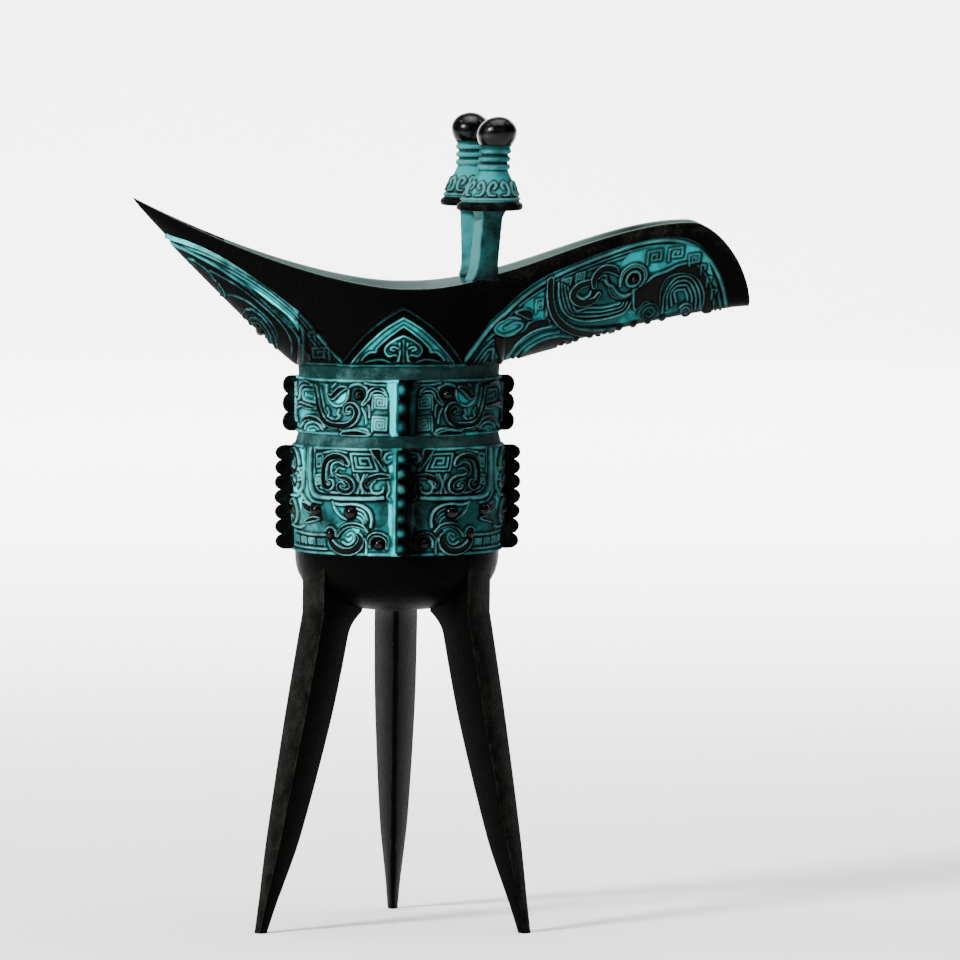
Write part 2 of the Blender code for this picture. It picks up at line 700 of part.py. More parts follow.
def apply_boolean(target, cutter, operation):
    """Join or cut with the exact solver and keep the result as the target's own mesh."""
    modifier = target.modifiers.new(cutter.name, "BOOLEAN")
    modifier.operation = operation
    modifier.solver = "EXACT"
    modifier.use_self = True
    modifier.object = cutter
    graph = bpy.context.evaluated_depsgraph_get()
    result = bpy.data.meshes.new_from_object(target.evaluated_get(graph))
    target.modifiers.clear()
    target.data = result
    bpy.data.objects.remove(cutter)
    mesh = bmesh.new()
    mesh.from_mesh(result)
    bmesh.ops.triangulate(mesh, faces=mesh.faces)
    mesh.to_mesh(result)
    mesh.free()


def lean_over(thing):
    """Tip the casting by its lean."""
    mesh = bmesh.new()
    mesh.from_mesh(thing.data)
    for corner in mesh.verts:
        corner.co.x += LEAN * (corner.co.z - BAND_FOOT * MM)
    mesh.to_mesh(thing.data)
    mesh.free()


def settle(thing):
    """Move the mesh so that the middle of the box's bottom is the origin."""
    corners = np.empty(len(thing.data.vertices) * 3)
    thing.data.vertices.foreach_get("co", corners)
    corners = corners.reshape(-1, 3)
    low = corners.min(axis=0)
    high = corners.max(axis=0)
    corners -= ((low[0] + high[0]) / 2, (low[1] + high[1]) / 2, low[2])
    thing.data.vertices.foreach_set("co", corners.ravel())
    thing.data.update()


def joined(name, *builders):
    """Scratch object from several builders that write into one mesh."""
    mesh = bmesh.new()
    for builder in builders:
        builder(mesh)
    return finish(mesh, name)


def main():
    for thing in list(bpy.data.objects):
        bpy.data.objects.remove(thing, do_unlink=True)
    band_rows = [UPPER_FOOT, WAIST_FOOT, BAND_FOOT + LOWER_BAND / 2, BAND_FOOT]
    outer_rows = [UPPER_TOP] + band_rows + [BOWL_FOOT + ROUND_HEIGHT * share for share in OUTER_ROUND_ROWS]
    round_depth = BAND_FOOT - INSIDE.foot
    inner_rows = band_rows + [INSIDE.foot + round_depth * share for share in INNER_ROUND_ROWS]
    vessel = finish(wall_mesh(OUTSIDE, 0.0, outer_rows), "jue_vessel", cast_bronze())
    legs = joined("legs", *[lambda mesh, angle=angle: leg(mesh, angle) for angle in LEG_ANGLES])
    apply_boolean(vessel, legs, "UNION")
    apply_boolean(vessel, joined("fittings", flanges, handle, animal_head), "UNION")
    apply_boolean(vessel, joined("ornament", ornament), "UNION")
    apply_boolean(vessel, finish(wall_mesh(INSIDE, LID_OVER, inner_rows), "hollow"), "DIFFERENCE")
    posts = joined("posts", lambda mesh: post(mesh, -1, NEAR_LEAN), lambda mesh: post(mesh, 1, FAR_LEAN))
    apply_boolean(vessel, posts, "UNION")
    lean_over(vessel)
    settle(vessel)
    vessel.data.shade_smooth()
    vessel.data.set_sharp_from_angle(angle=math.radians(CREASE))


main()
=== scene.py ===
"""Dressed model of a cast bronze jue, a wine cup on three blade legs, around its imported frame.

X runs from the tail to the spout, the handle is at the back (+Y) and +Z is up. The shape functions work in
millimetres from the bowl's own axis, and Shell turns them into metres in the frame.
"""
import math
from types import SimpleNamespace

import bmesh
import bpy
import numpy as np
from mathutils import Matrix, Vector


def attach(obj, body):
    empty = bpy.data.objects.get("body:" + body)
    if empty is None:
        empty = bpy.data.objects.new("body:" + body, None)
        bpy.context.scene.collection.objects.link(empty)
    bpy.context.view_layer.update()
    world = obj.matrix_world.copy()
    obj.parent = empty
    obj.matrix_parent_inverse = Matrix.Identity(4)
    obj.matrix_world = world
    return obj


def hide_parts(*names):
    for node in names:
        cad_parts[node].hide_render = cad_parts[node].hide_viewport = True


bl_info = {
    "name": "Cast bronze jue",
    "version": (1, 0, 0),
    "blender": (4, 5, 0),
    "location": "3D View > Sidebar > Jue",
    "description": "Makes a small patinated wine cup with raised ornament, piece by piece",
    "category": "Add Mesh",
}

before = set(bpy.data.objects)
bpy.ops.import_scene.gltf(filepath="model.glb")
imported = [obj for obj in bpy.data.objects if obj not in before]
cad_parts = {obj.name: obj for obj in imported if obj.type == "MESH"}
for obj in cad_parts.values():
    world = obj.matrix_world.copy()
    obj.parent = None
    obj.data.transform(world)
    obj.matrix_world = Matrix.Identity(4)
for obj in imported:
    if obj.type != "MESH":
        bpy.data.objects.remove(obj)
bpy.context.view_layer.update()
NODE = "jue_vessel"
MM = 0.001
# The bowl's axis in the frame, in millimetres: the frame is centred on the box of the whole cup
AXIS = np.array((-11.743, -5.301))
# Divisors stay over this, so that a share of nothing is still a number
LEAST = 1e-9
# Levels of patina besides 0, bare metal, and 1 to 1.5, blue-green: a polished boss, rubbed metal, a dull film
# on the plain strips and dust along the rim
SHINE = -1.2
GLOSS = -0.6
FILM = 3.0
DUST = 4.0
# Points on a turn of a scroll, and the fewest on any scroll
TURN_POINTS = 16
SCROLL_POINTS = 6


def length(name, description, millimetres):
    """Length property that is written here in millimetres."""
    return bpy.props.FloatProperty(name=name, description=description, default=millimetres * MM,
                                   unit="LENGTH", subtype="DISTANCE", precision=5)


def number(name, description, value):
    """Plain number property."""
    return bpy.props.FloatProperty(name=name, description=description, default=value, precision=3)


def colour(name, description, value):
    """Colour property in linear light."""
    return bpy.props.FloatVectorProperty(name=name, description=description, default=value, size=3,
                                         min=0.0, max=1.0, subtype="COLOR")


class JueBowl(bpy.types.PropertyGroup):
    """Sizes of the bowl, from the ground up."""

    leg_height: length("Leg height", "Ground to the underside of the bowl", 83.6)
    round_height: length("Round bottom", "Height of the bowl's round bottom", 15.9)
    lower_band: length("Wide band", "Height of the wide ornamented band", 28.3)
    waist: length("Waist", "Plain strip between the two bands", 3.0)
    upper_band: length("Narrow band", "Height of the narrow ornamented band", 14.8)
    neck_band: length("Neck strip", "Plain strip over the narrow band", 3.4)
    bottom_half: length("Bottom half-length", "Half-length at the foot of the wide band", 26.9)
    belly_half: length("Belly half-length", "Half-length at the middle of the wide band", 27.4)
    waist_half: length("Waist half-length", "Half-length at the waist", 27.2)
    upper_half: length("Upper half-length", "Half-length at the narrow band", 26.4)
    neck_half: length("Neck half-length", "Half-length at the neck", 26.6)
    oval: number("Oval", "Width of the bowl as a share of its length", 0.93)
    round_power: number("Bottom roundness", "Power of the round bottom's superellipse", 2.5)
    wall: length("Wall", "Thickness of the cast wall", 2.4)
    floor: length("Floor", "Thickness of the bottom", 2.8)
    lean: number("Lean", "Tip of the whole casting toward the spout, as a slope", 0.012)


class JueMouth(bpy.types.PropertyGroup):
    """Sizes of the mouth, the tail and the spout."""

    depth: length("Depth", "Neck to the lowest place of the rim", 20.4)
    rim_half: length("Rim half-width", "Half the width across the rim", 25.6)
    tail_length: length("Tail length", "Axis to the tip of the tail", 70.6)
    tail_rise: length("Tail rise", "Tip of the tail over the low rim", 23.2)
    tail_sweep: number("Tail sweep", "Power of the tail's upward sweep", 1.58)
    tail_belly: length("Tail belly", "Sag of the tail's keel", 1.7)
    tail_taper: number("Tail taper", "Power of the tail's narrowing", 1.45)
    tail_pinch: number("Tail pinch", "How much sooner the inside ends, in wall thicknesses", 2.2)
    spout_length: length("Spout length", "Axis to the end of the spout", 92.2)
    spout_rise: length("Spout rise", "Crest of the spout over the low rim", 16.7)
    spout_start: length("Spout start", "Axis to where the rim starts to rise", 4.0)
    lip_rise: length("Lip rise", "Neck to the tip of the lip", 14.5)
    lip_fall: length("Lip fall", "Length of the rim's fall to the lip", 16.0)
    lip_curve: number("Lip curve", "Power of the lip's rounding", 1.7)
    keel_curve: number("Keel curve", "Power of the spout keel's rise", 1.4)
    spout_half: length("Spout half-width", "Half the width of the spout", 14.2)
    spout_taper: length("Spout taper", "Narrowing of the spout along its length", 3.7)
    spout_spread: length("Spout spread", "How far the mouth's width reaches into the spout", 21.0)
    tail_round: number("Tail roundness", "Power of the tail's cross-section", 1.5)
    spout_round: number("Spout roundness", "Power of the spout's cross-section", 2.3)


class JueFittings(bpy.types.PropertyGroup):
    """Sizes of the legs, posts, flanges and handle."""

    leg_top: length("Leg top radius", "Axis to a leg's outer face under the bowl", 25.3)
    leg_foot: length("Foot radius", "Axis to a leg's outer face at the ground", 41.2)
    leg_width: length("Leg width", "Width of a leg's outer face under the bowl", 11.7)
    leg_ridge: length("Leg ridge", "Width of a leg's inner ridge", 1.6)
    leg_arch: length("Leg arch", "Rounding between a leg and the bowl", 3.0)
    post_along: length("Post place along", "Axis to a post along the spout", 20.7)
    post_inset: length("Post inset", "A post's middle in from the outside of the rim", 3.6)
    post_width: length("Post width", "Width of a post along the spout", 6.0)
    post_depth: length("Post depth", "Depth of a post across the mouth", 6.8)
    post_root: length("Post root", "How far a post goes into the rim", 2.4)
    post_rise: length("Post rise", "Low rim to a cap's disc", 20.2)
    cap_radius: length("Cap radius", "Radius of a cap's disc", 8.7)
    cap_height: length("Cap height", "Height of a cap", 25.4)
    ball_radius: length("Ball radius", "Radius of the ball on a cap", 5.2)
    flange_thickness: length("Flange thickness", "Thickness of a flange", 2.8)
    lower_reach: length("Wide band flange", "Reach of the flanges on the wide band", 5.0)
    upper_reach: length("Narrow band flange", "Reach of the flanges on the narrow band", 4.1)
    handle_rise: length("Handle rise", "Foot of the handle over the wide band's foot", 7.5)
    handle_height: length("Handle height", "Height of the handle", 34.0)
    handle_reach: length("Handle reach", "How far the handle stands out", 14.0)
    handle_width: length("Handle width", "Width of the strap", 7.5)
    handle_thickness: length("Handle thickness", "Thickness of the strap", 3.6)
    relief: length("Relief", "Height of the raised ornament", 1.05)
    grid: length("Grid step", "Step of the grid that carries the ornament", 0.225)


class JueFinish(bpy.types.PropertyGroup):
    """Colours of the bronze, its patina and the stage."""

    bronze: colour("Bronze", "Dark metal where the patina is rubbed off", (0.0012, 0.0011, 0.001))
    brown: colour("Brown bronze", "Metal that shows warm where it is worn", (0.021, 0.021, 0.017))
    dark_patina: colour("Dark patina", "Thin blue-green in the crevices", (0.0015, 0.009, 0.009))
    # Painted shade: the colour that the patina is darkened and greyed to on the spout's side, away from the
    # light
    spout_shade_patina: colour("Thin patina", "Greyer patina on the spout side", (0.006, 0.013, 0.012))
    patina: colour("Patina", "Blue-green in the low places", (0.010, 0.165, 0.166))
    bright_patina: colour("Bright patina", "Where the blue-green lies thick", (0.008, 0.60, 0.63))
    # Pale edges: worn patina, and a painted highlight along the ridges
    pale_patina: colour("Pale patina", "Worn edges of the blue-green", (0.16, 0.51, 0.515))
    grey_film: colour("Grey film", "Dull film on the plain strips", (0.036, 0.10, 0.094))
    dusty: colour("Dusty rim", "Pale metal along the top of the rim", (0.10, 0.14, 0.13))
    backdrop: colour("Stage", "Floor behind and under the cup", (0.92, 0.92, 0.92))


def millimetres(group):
    """The numbers of a property group, with its lengths in millimetres."""
    values = {}
    for name in group.__annotations__:
        value = getattr(group, name)
        unit = group.bl_rna.properties[name].unit
        values[name] = value / MM if unit == "LENGTH" else value
    return SimpleNamespace(**values)


def sizes(context):
    """Bowl, mouth and fittings with the heights that follow from them."""
    scene = context.scene
    bowl = millimetres(scene.jue_bowl)
    mouth = millimetres(scene.jue_mouth)
    parts = millimetres(scene.jue_fittings)
    bowl.band_foot = bowl.leg_height + bowl.round_height
    bowl.waist_foot = bowl.band_foot + bowl.lower_band
    bowl.upper_foot = bowl.waist_foot + bowl.waist
    bowl.upper_top = bowl.upper_foot + bowl.upper_band
    bowl.neck = bowl.upper_top + bowl.neck_band
    mouth.rim_low = bowl.neck + mouth.depth
    mouth.lip = bowl.neck + mouth.lip_rise
    parts.cap_base = mouth.rim_low + parts.post_rise
    parts.handle_foot = bowl.band_foot + parts.handle_rise
    parts.handle_top = parts.handle_foot + parts.handle_height
    return bowl, mouth, parts


def ease(share):
    """0 to 1 with a soft start and end: 3 s^2 - 2 s^3."""
    share = np.clip(share, 0.0, 1.0)
    return share * share * (3.0 - 2.0 * share)


class Wall:
    """One face of the vessel's wall; depth is how far it lies in from the outside."""

    # Rise of the inner neck for each millimetre of depth, and the powers of the side's curves
    CORNER_RISE = 0.5
    NECK_SWEEP = 1.6
    NECK_BLEND = 3.0
    SPREAD_CURVE = 3.2
    TAPER_CURVE = 1.2
    # Where the rim is nearer to the keel than this there is no wall between them
    THIN = 1e-6
    # Step of the slopes that the wall's normal is worked out from
    SLOPE_STEP = 0.03

    def __init__(self, bowl, mouth, depth=0.0, floor=0.0):
        self.bowl = bowl
        self.mouth = mouth
        self.depth = depth
        self.foot = bowl.leg_height + floor
        self.neck = bowl.neck + self.CORNER_RISE * depth
        self.neck_half = bowl.neck_half - depth
        self.tail = mouth.tail_length - mouth.tail_pinch * depth
        self.lip = mouth.lip + depth

    def bowl_half(self, z):
        """Half the bowl's length: a superellipse in the round bottom, and straight runs over it."""
        bowl = self.bowl
        share = np.clip((bowl.band_foot - z) / (bowl.band_foot - self.foot), 0.0, 1.0)
        power = bowl.round_power
        bottom = (bowl.bottom_half - self.depth) * (1.0 - share ** power) ** (1.0 / power)
        heights = (bowl.band_foot, bowl.band_foot + bowl.lower_band / 2, bowl.waist_foot, bowl.upper_foot,
                   bowl.upper_top, bowl.neck)
        halves = (bowl.bottom_half, bowl.belly_half, bowl.waist_half, bowl.upper_half, bowl.upper_half,
                  bowl.neck_half)
        return np.where(z < bowl.band_foot, bottom, np.interp(z, heights, halves) - self.depth)

    def around(self, turn, z):
        """Place on the bowl; turn is 0 at the front and grows toward the spout."""
        half = self.bowl_half(z)
        return np.stack((half * np.sin(turn), -half * self.bowl.oval * np.cos(turn), z + 0 * turn), axis=-1)

    def rim_uncut(self, x):
        """Rim before the lip is rounded: a power curve up the tail and an S-curve up the spout."""
        mouth = self.mouth
        tail = mouth.tail_rise * (np.clip(-x, 0.0, None) / mouth.tail_length) ** mouth.tail_sweep
        run = mouth.spout_length - mouth.lip_fall - mouth.spout_start
        spout = mouth.spout_rise * ease((x - mouth.spout_start) / run)
        return mouth.rim_low + np.where(x < 0.0, tail, spout)

    def rim(self, x):
        """Rim with the lip: past the crest it falls along a superellipse to the lip's tip."""
        mouth = self.mouth
        share = np.clip((x - mouth.spout_length + mouth.lip_fall) / mouth.lip_fall, 0.0, 1.0)
        fall = (1.0 - share ** mouth.lip_curve) ** (1.0 / mouth.lip_curve)
        return mouth.lip + (self.rim_uncut(x) - mouth.lip) * fall

    def keel(self, x):
        """Lowest line: straight with a sag under the tail, level at the neck, an arc under the spout."""
        mouth = self.mouth
        share = np.clip((-x - self.neck_half) / (self.tail - self.neck_half), 0.0, 1.0)
        top = mouth.rim_low + mouth.tail_rise * (self.tail / mouth.tail_length) ** mouth.tail_sweep
        tail = self.neck + (top - self.neck) * share - mouth.tail_belly * np.sqrt(4.0 * share * (1.0 - share))
        share = np.clip((x - self.neck_half) / (mouth.spout_length - self.neck_half), 0.0, 1.0)
        spout = self.neck + (self.lip - self.neck) * (1.0 - (1.0 - share) ** mouth.keel_curve)
        return np.where(x < -self.neck_half, tail, spout)

    def half_width(self, x):
        """Half the width at the rim: a power curve to the tail's tip, a bell and a taper to the spout."""
        mouth = self.mouth
        rim_half = mouth.rim_half - self.depth
        spout_half = mouth.spout_half - self.depth
        tail = rim_half * (1.0 - np.clip(-x / self.tail, 0.0, 1.0) ** mouth.tail_taper)
        along = np.clip(x, 0.0, None)
        flare = (rim_half - spout_half) / (1.0 + (along / mouth.spout_spread) ** self.SPREAD_CURVE)
        spout = spout_half + flare - mouth.spout_taper * (along / mouth.spout_length) ** self.TAPER_CURVE
        return np.where(x < 0.0, tail, spout)

    def side(self, x, z):
        """Half the width at a height.

        The neck's oval opens along a power curve, the troughs along a superellipse, and the two blend by how
        near x is to the neck's ends.
        """
        mouth = self.mouth
        keel = self.keel(x)
        share = np.clip((z - keel) / np.maximum(self.rim_uncut(x) - keel, self.THIN), 0.0, 1.0)
        reach = np.clip(np.abs(x) / self.neck_half, 0.0, 1.0)
        foot = self.neck_half * self.bowl.oval * np.sqrt(1.0 - reach * reach)
        power = np.where(x < 0.0, mouth.tail_round, mouth.spout_round)
        trough = (1.0 - (1.0 - share) ** power) ** (1.0 / power)
        blend = reach ** self.NECK_BLEND
        rise = (1.0 - blend) * share ** self.NECK_SWEEP + blend * trough
        return foot + (self.half_width(x) - foot) * rise

    def normal(self, x, z, face):
        """Outward direction of the mouth's wall: the slope of |y| - side(x, z), by small steps."""
        step = self.SLOPE_STEP
        z = np.maximum(z, self.keel(x) + step)
        along = (self.side(x + step, z) - self.side(x - step, z)) / (2 * step)
        up = (self.side(x, z + step) - self.side(x, z - step)) / (2 * step)
        out = np.stack((-along, np.full_like(along, face), -up), axis=-1)
        return out / np.linalg.norm(out, axis=-1, keepdims=True)


def ring_normals(points):
    """Unit cross products of a grid's two directions, the first of which closes on itself."""
    first = np.roll(points, -1, axis=0) - np.roll(points, 1, axis=0)
    second = np.gradient(points, axis=1)
    out = np.cross(first, second)
    return out / np.maximum(np.linalg.norm(out, axis=-1, keepdims=True), LEAST)


class Shell:
    """Collects grids of places in millimetres and makes one closed mesh of them.

    Each place has three values for the finish: its level of patina, its wear, which shows brown in bare metal
    and thins a film, and pale, its share of pale edge: worn patina that also stands for a painted highlight.
    """

    MERGE = 1e-3
    VALUES = ("patina", "wear", "pale")

    def __init__(self, bowl):
        self.bowl = bowl
        self.points = []
        self.values = []
        self.quads = []
        self.count = 0

    def grid(self, points, patina, ring=False, tube=False, wear=0.0, pale=0.0):
        """Add a grid; ring closes its first direction and tube its second."""
        shape = points.shape[:2]
        index = np.arange(shape[0] * shape[1]).reshape(shape) + self.count
        self.count += index.size
        if ring:
            index = np.vstack((index, index[:1]))
        if tube:
            index = np.hstack((index, index[:, :1]))
        quads = np.stack((index[:-1, :-1], index[1:, :-1], index[1:, 1:], index[:-1, 1:]), axis=-1)
        self.points.append(points.reshape(-1, 3))
        self.values.append([np.broadcast_to(value, shape).ravel() for value in (patina, wear, pale)])
        self.quads.append(quads.reshape(-1, 4))

    def cap(self, loop, patina):
        """Close one end of a tube with a fan to the middle of its loop."""
        middle = np.broadcast_to(loop.mean(axis=0), loop.shape)
        self.grid(np.stack((loop, middle), axis=0), patina, tube=True)

    def tube(self, points, patina, wear=0.0, pale=0.0):
        """Add a tube whose second direction goes round, closed at both ends."""
        patina = np.broadcast_to(patina, points.shape[:2])
        self.grid(points, patina, tube=True, wear=wear, pale=pale)
        self.cap(points[0], patina[0].mean())
        self.cap(points[-1], patina[-1].mean())

    def merged(self):
        """Places, values and faces once corners that meet are one and empty faces are dropped."""
        points = np.vstack(self.points)
        values = np.concatenate(self.values, axis=1, dtype=np.float32)
        keys = np.round(points / self.MERGE).astype(np.int64)
        _, first, place = np.unique(keys, axis=0, return_index=True, return_inverse=True)
        quads = place.ravel()[np.vstack(self.quads)]
        corners = (quads != np.roll(quads, -1, axis=1)).sum(axis=1)
        folded = (quads[:, 0] == quads[:, 2]) | (quads[:, 1] == quads[:, 3])
        faces = quads[(corners == 4) & ~folded].tolist()
        for quad in quads[(corners == 3) & ~folded].tolist():
            faces.append(list(dict.fromkeys(quad)))
        return points[first], values[:, first], faces

    def make(self, name, finish, crease):
        """Make the piece's mesh, point its faces outward, give it its finish and put it in place."""
        points, values, faces = self.merged()
        mesh = bpy.data.meshes.new(name)
        mesh.from_pydata(self.to_frame(points), [], faces)
        for kind, value in zip(self.VALUES, values):
            mesh.attributes.new(kind, "FLOAT", "POINT").data.foreach_set("value", value)
        work = bmesh.new()
        work.from_mesh(mesh)
        bmesh.ops.recalc_face_normals(work, faces=work.faces)
        if work.calc_volume(signed=True) < 0.0:
            bmesh.ops.reverse_faces(work, faces=work.faces)
        work.to_mesh(mesh)
        work.free()
        mesh.materials.append(finish)
        mesh.shade_smooth()
        mesh.set_sharp_from_angle(angle=math.radians(crease))
        thing = bpy.data.objects.new(name, mesh)
        bpy.context.scene.collection.objects.link(thing)
        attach(thing, "root")
        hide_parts(NODE)

    def to_frame(self, points):
        """Millimetres from the bowl's axis to metres in the frame: a shear by the lean, then a shift."""
        places = points.copy()
        places[:, 0] += self.bowl.lean * (points[:, 2] - self.bowl.band_foot)
        places[:, :2] += AXIS
        return places * MM


def curve(points, steps=6):
    """Smooth path through points: a Catmull-Rom spline, all spans at once."""
    knots = np.array(points, float)
    knots = np.vstack((2 * knots[0] - knots[1], knots, 2 * knots[-1] - knots[-2]))
    before, start, end, after = (knots[place:len(knots) - 3 + place, None] for place in range(4))
    share = np.linspace(0.0, 1.0, steps, endpoint=False)[None, :, None]
    path = 0.5 * (2 * start + (end - before) * share + (2 * before - 5 * start + 4 * end - after) * share ** 2
                  + (3 * start - before - 3 * end + after) * share ** 3)
    return np.vstack((path.reshape(-1, knots.shape[1]), knots[-2]))


def straight(*points):
    """Path of straight runs from point to point, which a stroke takes as it is."""
    return np.array(points)


def scroll(centre, radius, start, turns, inner=0.25, squash=1.0):
    """Spiral from its outer end inward: the radius falls evenly with the turn."""
    share = np.linspace(0.0, 1.0, max(int(abs(turns) * TURN_POINTS), SCROLL_POINTS))
    turn = math.radians(start) + 2 * math.pi * turns * share
    reach = radius * (1.0 - (1.0 - inner) * share)
    return np.stack((centre[0] + reach * np.cos(turn), centre[1] + reach * squash * np.sin(turn)), axis=1)


def fret(centre, width, height, turns=2, way=1):
    """Square spiral, from outside in: each side is shorter than the one before by the same step."""
    corners = ((-1, -1), (-1, 1), (1, 1), (1, -1))
    path = []
    sides = turns * len(corners)
    for side in range(sides):
        share = 1.0 - side / sides
        across, up = corners[side % len(corners)]
        path.append((centre[0] + way * across * width / 2 * share, centre[1] + up * height / 2 * share))
    return np.array(path)


class Carving:
    """Raised ornament over a grid of flat places, built up stroke by stroke, in millimetres.

    Tone goes with it, which is the level of patina, with painted shade beside each band, line and boss. What
    a stroke's tone has over 1 goes to pale, the share of pale edge: worn patina and a painted highlight. A
    stroke's points are a list of knots, which is smoothed, or an array, taken as it is.
    """

    # A band's swell past half its width, the slope of its side, its lifted rim, the rim's inner slope, the
    # height of its middle and how far it acts
    SWELL = 0.12
    SOFT = 0.2
    RIM = 0.46
    RIM_SOFT = 0.26
    MIDDLE = 0.8
    BAND_REACH = 1.2
    # A line's foot past half its width, the slope of its side and how far it acts
    LINE_FOOT = 0.28
    LINE_SOFT = 0.5
    LINE_REACH = 1.0
    # The painted shade in the crevice beside a band or a line: its depth, its width and a line's distance to
    # it
    BAND_SHADE = 0.85
    BAND_CREVICE = 0.45
    LINE_SHADE = 0.6
    LINE_CREVICE = 0.32
    LINE_GAP = 0.3
    # Pale for each step of tone over 1, and how steeply it falls down a line's side
    PALE = 0.8
    PALE_FALL = 1.5
    # A boss's clear ring, and the painted shade round its foot: its width and how dark it starts
    BOSS_CLEAR = 0.4
    BOSS_SHADE = 0.7
    BOSS_DARK = 0.25

    def __init__(self, across, up, relief, ground=1.0):
        self.across = across
        self.up = up
        self.relief = relief
        self.height = np.zeros(across.shape)
        self.tone = np.full(across.shape, ground)
        self.pale = np.zeros(across.shape)

    def near(self, path, reach):
        """Grid places within reach of a path: their mask, their distance and their share along it."""
        low = path.min(axis=0) - reach
        high = path.max(axis=0) + reach
        mask = (self.across > low[0]) & (self.across < high[0]) & (self.up > low[1]) & (self.up < high[1])
        places = np.stack((self.across[mask], self.up[mask]), axis=1)
        start = path[:-1]
        span = path[1:] - start
        size = np.maximum((span ** 2).sum(axis=1), LEAST)
        offset = places[:, None] - start[None]
        along = np.clip((offset * span).sum(axis=2) / size, 0.0, 1.0)
        distance = np.linalg.norm(offset - along[..., None] * span, axis=2)
        nearest = distance.argmin(axis=1)
        pick = (np.arange(len(places)), nearest)
        walked = np.concatenate(((0.0,), np.cumsum(np.sqrt(size))))
        share = (walked[nearest] + along[pick] * np.sqrt(size[nearest])) / walked[-1]
        return mask, distance[pick], share

    def band(self, points, width, height=1.0, ends=(1.0, 1.0), core=GLOSS, edge=1.8):
        """Broad raised band: a plateau with a lifted rim, and painted shade in the crevice beside it; ends
        narrow it.
        """
        path = curve(points) if isinstance(points, list) else points
        mask, distance, share = self.near(path, width / 2 + self.BAND_REACH)
        narrowing = np.interp(share, (0.0, 0.25, 0.75, 1.0), (ends[0], 1.0, 1.0, ends[1]))
        half = (width / 2 + self.SWELL) * narrowing
        lift = ease((half + self.SOFT - distance) / (2 * self.SOFT))
        rim = ease((distance - half + self.RIM) / self.RIM_SOFT)
        top = self.relief * height * (self.MIDDLE + (1.0 - self.MIDDLE) * rim)
        # Painted shade in the crevice beside the band
        crevice_shade = 1.0 - self.BAND_SHADE * np.exp(-((distance - half) / self.BAND_CREVICE) ** 2)
        tone = core + (min(edge, 1.0) - core) * rim
        pale = self.PALE * max(edge - 1.0, 0.0) * rim * lift
        self.height[mask] = np.maximum(self.height[mask] * (1.0 - lift), top * lift)
        self.tone[mask] = self.tone[mask] * crevice_shade * (1.0 - lift) + tone * lift
        self.pale[mask] = self.pale[mask] * (1.0 - lift) + pale

    def line(self, points, width=0.42, height=0.45, tone=1.7):
        """Thin raised line: a rounded ridge over its path, with painted shade in the crevice beside it."""
        path = curve(points) if isinstance(points, list) else points
        mask, distance, _ = self.near(path, width / 2 + self.LINE_REACH)
        lift = ease((width / 2 + self.LINE_FOOT - distance) / self.LINE_SOFT)
        out = (distance - width / 2 - self.LINE_GAP) / self.LINE_CREVICE
        # Painted shade in the crevice beside the line
        crevice_shade = 1.0 - self.LINE_SHADE * np.exp(-out ** 2)
        pale = self.PALE * max(tone - 1.0, 0.0) * lift ** self.PALE_FALL
        self.height[mask] = np.maximum(self.height[mask], self.relief * height * lift)
        self.tone[mask] = self.tone[mask] * crevice_shade * (1.0 - lift) + min(tone, 1.0) * lift
        self.pale[mask] = self.pale[mask] * (1.0 - lift) + pale

    def ball(self, centre, radius, height=1.5, tone=SHINE):
        """Round boss: a half-ellipsoid over its circle, with a clear ring and painted shade round its foot.
        """
        distance = np.hypot(self.across - centre[0], self.up - centre[1])
        out = distance - radius
        dome = self.relief * height * np.sqrt(np.clip(1.0 - (distance / radius) ** 2, 0.0, 1.0))
        self.height = np.maximum(self.height * ease(out / self.BOSS_CLEAR), dome)
        # Painted shade round the boss's foot
        shade = self.BOSS_DARK + (1.0 - self.BOSS_DARK) * ease(out / self.BOSS_SHADE)
        self.tone = np.where(distance < radius, tone, self.tone * shade)
        self.pale = np.where(distance < radius, 0.0, self.pale)

    def inside(self, points):
        """Places inside a smooth closed outline: a line to the right crosses an odd number of its edges."""
        outline = curve(points + points[:1])
        inside = np.zeros(self.across.shape, bool)
        for (x1, y1), (x2, y2) in zip(outline, np.roll(outline, -1, axis=0)):
            if y1 != y2:
                spans = (y1 > self.up) != (y2 > self.up)
                inside ^= spans & (self.across < x1 + (self.up - y1) * (x2 - x1) / (y2 - y1))
        return inside

    def mass(self, points, height=0.9, tone=GLOSS, edge=1.5):
        """Broad raised mass inside an outline, with a pale rim."""
        inside = self.inside(points)
        self.height = np.where(inside, self.relief * height, self.height)
        self.tone = np.where(inside, tone, self.tone)
        self.pale = np.where(inside, 0.0, self.pale)
        self.line(points + points[:1], 0.4, height, edge)

    def pool(self, points, tone=1.5, height=0.0):
        """Level place inside an outline, with its own tone and height."""
        inside = self.inside(points)
        self.tone = np.where(inside, tone, self.tone)
        self.pale = np.where(inside, 0.0, self.pale)
        self.height = np.where(inside, height, self.height)


